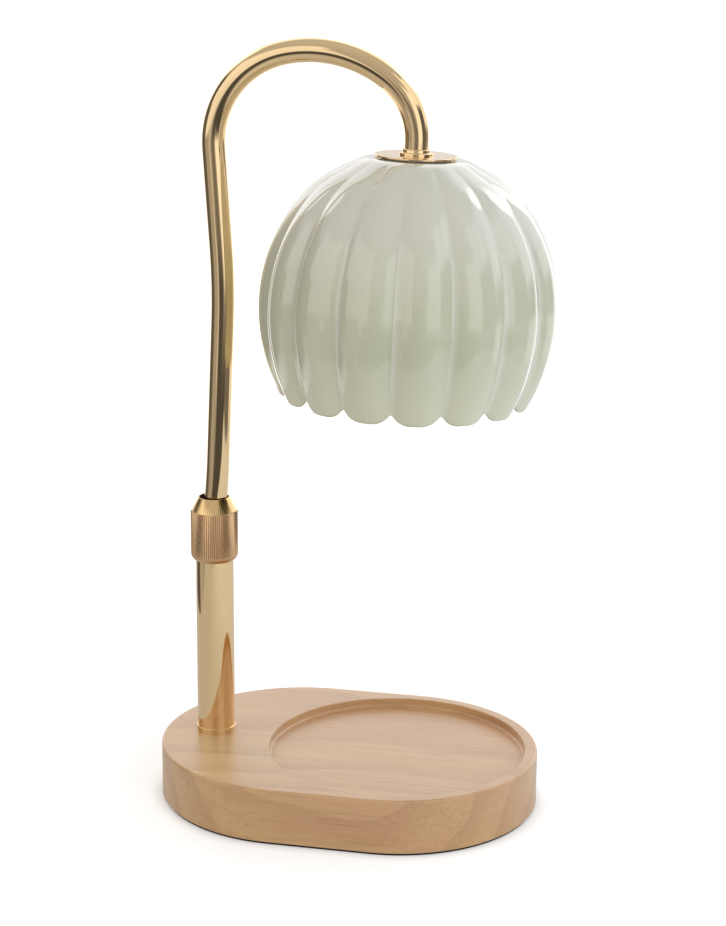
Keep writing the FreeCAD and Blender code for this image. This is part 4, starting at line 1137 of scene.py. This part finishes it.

# Paler lines painted along the ribs' valleys, a little to one side, are painted highlights. The neck is
# painted whiter as painted light from above; the colour is lighter at the rim.
VALLEY_SHIFT = 0.06
rib_turn = sage.maths("ARCTAN2", head_y, head_x) - RIB_START
rib_count = rib_turn * (RIBS / (2 * math.pi)) + RIBS
off_middle = sage.maths("FRACT", rib_count) - 0.5
shifted = off_middle - VALLEY_SHIFT
from_middle = sage.maths("ABSOLUTE", shifted)
below_head = head_z * -1
# Painted highlights along the valleys, fading in below the neck.
valley_highlight = sage.smooth_step(from_middle, 0.42, 0.55) * 0.6 * sage.smooth_step(below_head, 0.012, 0.05)
milk = sage.noise(head_place, 30.0, 2.0)
sage_colour = sage.blended(milk, srgb(191, 191, 164), srgb(200, 200, 176))
# Painted light: the neck is whiter, as light falls on it from above.
sage_colour = sage.blended(1 - sage.smooth_step(below_head, 0.018, 0.055), sage_colour, srgb(207, 205, 190))
sage_colour = sage.blended(sage.smooth_step(below_head, 0.072, 0.096), sage_colour, srgb(205, 204, 177))
sage_colour = sage.blended(valley_highlight, sage_colour, srgb(220, 221, 208))
waves = sage.noise(head_place, 55.0, 1.0)
cased_glass = sage.principled(
    base_color=sage_colour,
    roughness=0.04 + 0.03 * milk,
    ior=1.5,
    coat_weight=1.0,
    coat_roughness=0.02,
    normal=sage.bump(waves, 0.00006, 0.5),
)
fit(ribbed_shade, "arm", "sage_glass", cased_glass, "glass_shade")

# ---------------------------------------------------------------- lamp holder
# Under the glass a steel washer and nut clamp it to the cap, and a gold plated cup on the same
# nipple hides the ceramic holder, which takes the bulb's two pins in keyed slots.
lamp_cup = seat_on_head(
    turned(
        "lamp_cup",
        [
            (NIPPLE_HOLE, -11.0),
            (16.2, -11.0, 0.9),
            (16.2, -33.2),
            (17, -33.2),
            (17, -10.2, 1.5),
            (NIPPLE_HOLE, -10.2),
            (NIPPLE_HOLE, -11.0),
        ],
        steps=112,
    )
)
fit(lamp_cup, "arm", "polished_gold", cap_gold, "socket_cup")

ceramic = Finish("white_ceramic")
glaze = ceramic.noise(ceramic.place(), 90.0, 3.0)
ceramic_colour = ceramic.blended(glaze, srgb(222, 216, 202), srgb(236, 232, 222))
white_ceramic = ceramic.principled(
    base_color=ceramic_colour,
    roughness=0.34 + 0.2 * glaze,
    normal=ceramic.bump(glaze, 0.00005, 0.4),
)

steel = Finish("zinc_plated_steel")
spangle = steel.cells(steel.place(), 420.0, "Color")
steel_colour = steel.blended(spangle, srgb(176, 180, 184), srgb(200, 203, 206))
zinc_steel = steel.principled(base_color=steel_colour, metallic=1.0, roughness=0.32)

brass = Finish("raw_brass")
turning = brass.noise(brass.stretched(brass.place(), (80, 80, 2400)), 1.0, 2.0)
brass_colour = brass.blended(turning, srgb(128, 106, 76), srgb(148, 124, 92))
raw_brass = brass.principled(
    base_color=brass_colour,
    metallic=1.0,
    roughness=0.36 + 0.1 * turning,
    normal=brass.bump(turning, 0.000006, 0.5),
)

sheath = Finish("lead_sheath")
sheath_haze = sheath.noise(sheath.place(), 400.0, 2.0)
lead_sheath = sheath.principled(
    base_color=sheath.blended(sheath_haze, srgb(208, 206, 198), srgb(224, 222, 214)),
    roughness=0.55,
)

block_finish = Finish("terminal_nylon")
block_haze = block_finish.noise(block_finish.place(), 600.0, 2.0)
terminal_nylon = block_finish.principled(
    base_color=block_finish.blended(block_haze, srgb(228, 226, 214), srgb(238, 236, 226)),
    roughness=0.5,
)

# The pieces inside and under the lamp keep the meshes of their solids.
KEPT = {
    "post_plug": raw_brass,
    "post_stud": zinc_steel,
    "post_washer": zinc_steel,
    "post_nut": zinc_steel,
    "guide_bush": raw_brass,
    "collet": raw_brass,
    "inner_gasket": soft_rubber,
    "clamp_washer": zinc_steel,
    "head_nut": zinc_steel,
    "head_nipple": zinc_steel,
    "socket_nut": zinc_steel,
    "socket_body": white_ceramic,
    "socket_screws": zinc_steel,
    "contact_clips": raw_brass,
    "terminal_block": terminal_nylon,
    "terminal_screws": zinc_steel,
    "base_lead": lead_sheath,
    "post_lead": lead_sheath,
    "arm_lead": lead_sheath,
}
for node_name, finish in KEPT.items():
    nodes[node_name].material_slots[0].material = finish

# ---------------------------------------------------------------- bulb
# A halogen reflector bulb with two pins: a pressed glass shell with a faceted mirror inside,
# a clear front lens, and a quartz capsule with a coiled tungsten filament.
bulb_shell = seat_on_head(
    turned(
        "bulb_shell",
        [
            (0, -48.0),
            (8.6, -48.0, 0.3),
            (8.6, -51.0),
            (12.6, -56.5),
            (16.6, -62.6),
            (20.2, -69.6),
            (22.6, -75.6),
            (23.6, -78.0),
            (23.6, -84.0, 0.2),
            (25.0, -84.0, 0.4),
            (25.0, -78.0, 0.3),
            (23.9, -74.6),
            (21.4, -68.4),
            (17.8, -61.6),
            (13.8, -55.6),
            (10.0, -50.4, 0.5),
            (10.0, -36.4, 0.4),
            (0, -36.4),
        ],
    )
)
shell = Finish("pressed_bulb_glass")
facets = shell.cells(place_on_head(shell), 260.0)
shell_colour = shell.blended(facets, srgb(198, 200, 204), srgb(226, 228, 232))
pressed_glass = shell.principled(
    base_color=shell_colour,
    metallic=0.85,
    roughness=0.14 + 0.1 * facets,
    normal=shell.bump(facets, 0.0004, 0.6),
)
fit(bulb_shell, "bulb", "bulb_glass", pressed_glass, "bulb_reflector")

front_lens = seat_on_head(
    turned("front_lens", [(0, -84.0), (23.5, -84.0, 0.3), (23.5, -81.8, 0.3), (0, -81.2)])
)
lens = Finish("clear_bulb_glass")
lens_gloss = lens.node("ShaderNodeFresnel", None, {"IOR": 1.5})
lens_clear = lens.node("ShaderNodeBsdfTransparent", None, {"Color": (0.95, 0.96, 0.96)})
lens_waves = lens.bump(lens.noise(lens.place(), 160.0, 1.0), 0.0001, 0.4)
lens_shine = lens.node("ShaderNodeBsdfGlossy", None, {"Roughness": 0.03, "Normal": lens_waves})
clear_bulb_glass = lens.surface(lens.layered(lens_gloss, lens_clear, lens_shine))
fit(front_lens, "bulb", "clear_glass", clear_bulb_glass, "bulb_lens")

tungsten = Finish("tungsten_coil")
coil_haze = tungsten.noise(tungsten.place(), 3000.0, 2.0)
tungsten_wire = tungsten.principled(
    base_color=tungsten.blended(coil_haze, srgb(92, 92, 96), srgb(128, 128, 132)),
    metallic=1.0,
    roughness=0.4,
)
nodes["bulb_capsule"].material_slots[0].material = clear_bulb_glass
nodes["bulb_filament"].material_slots[0].material = tungsten_wire
nodes["bulb_pins"].material_slots[0].material = zinc_steel
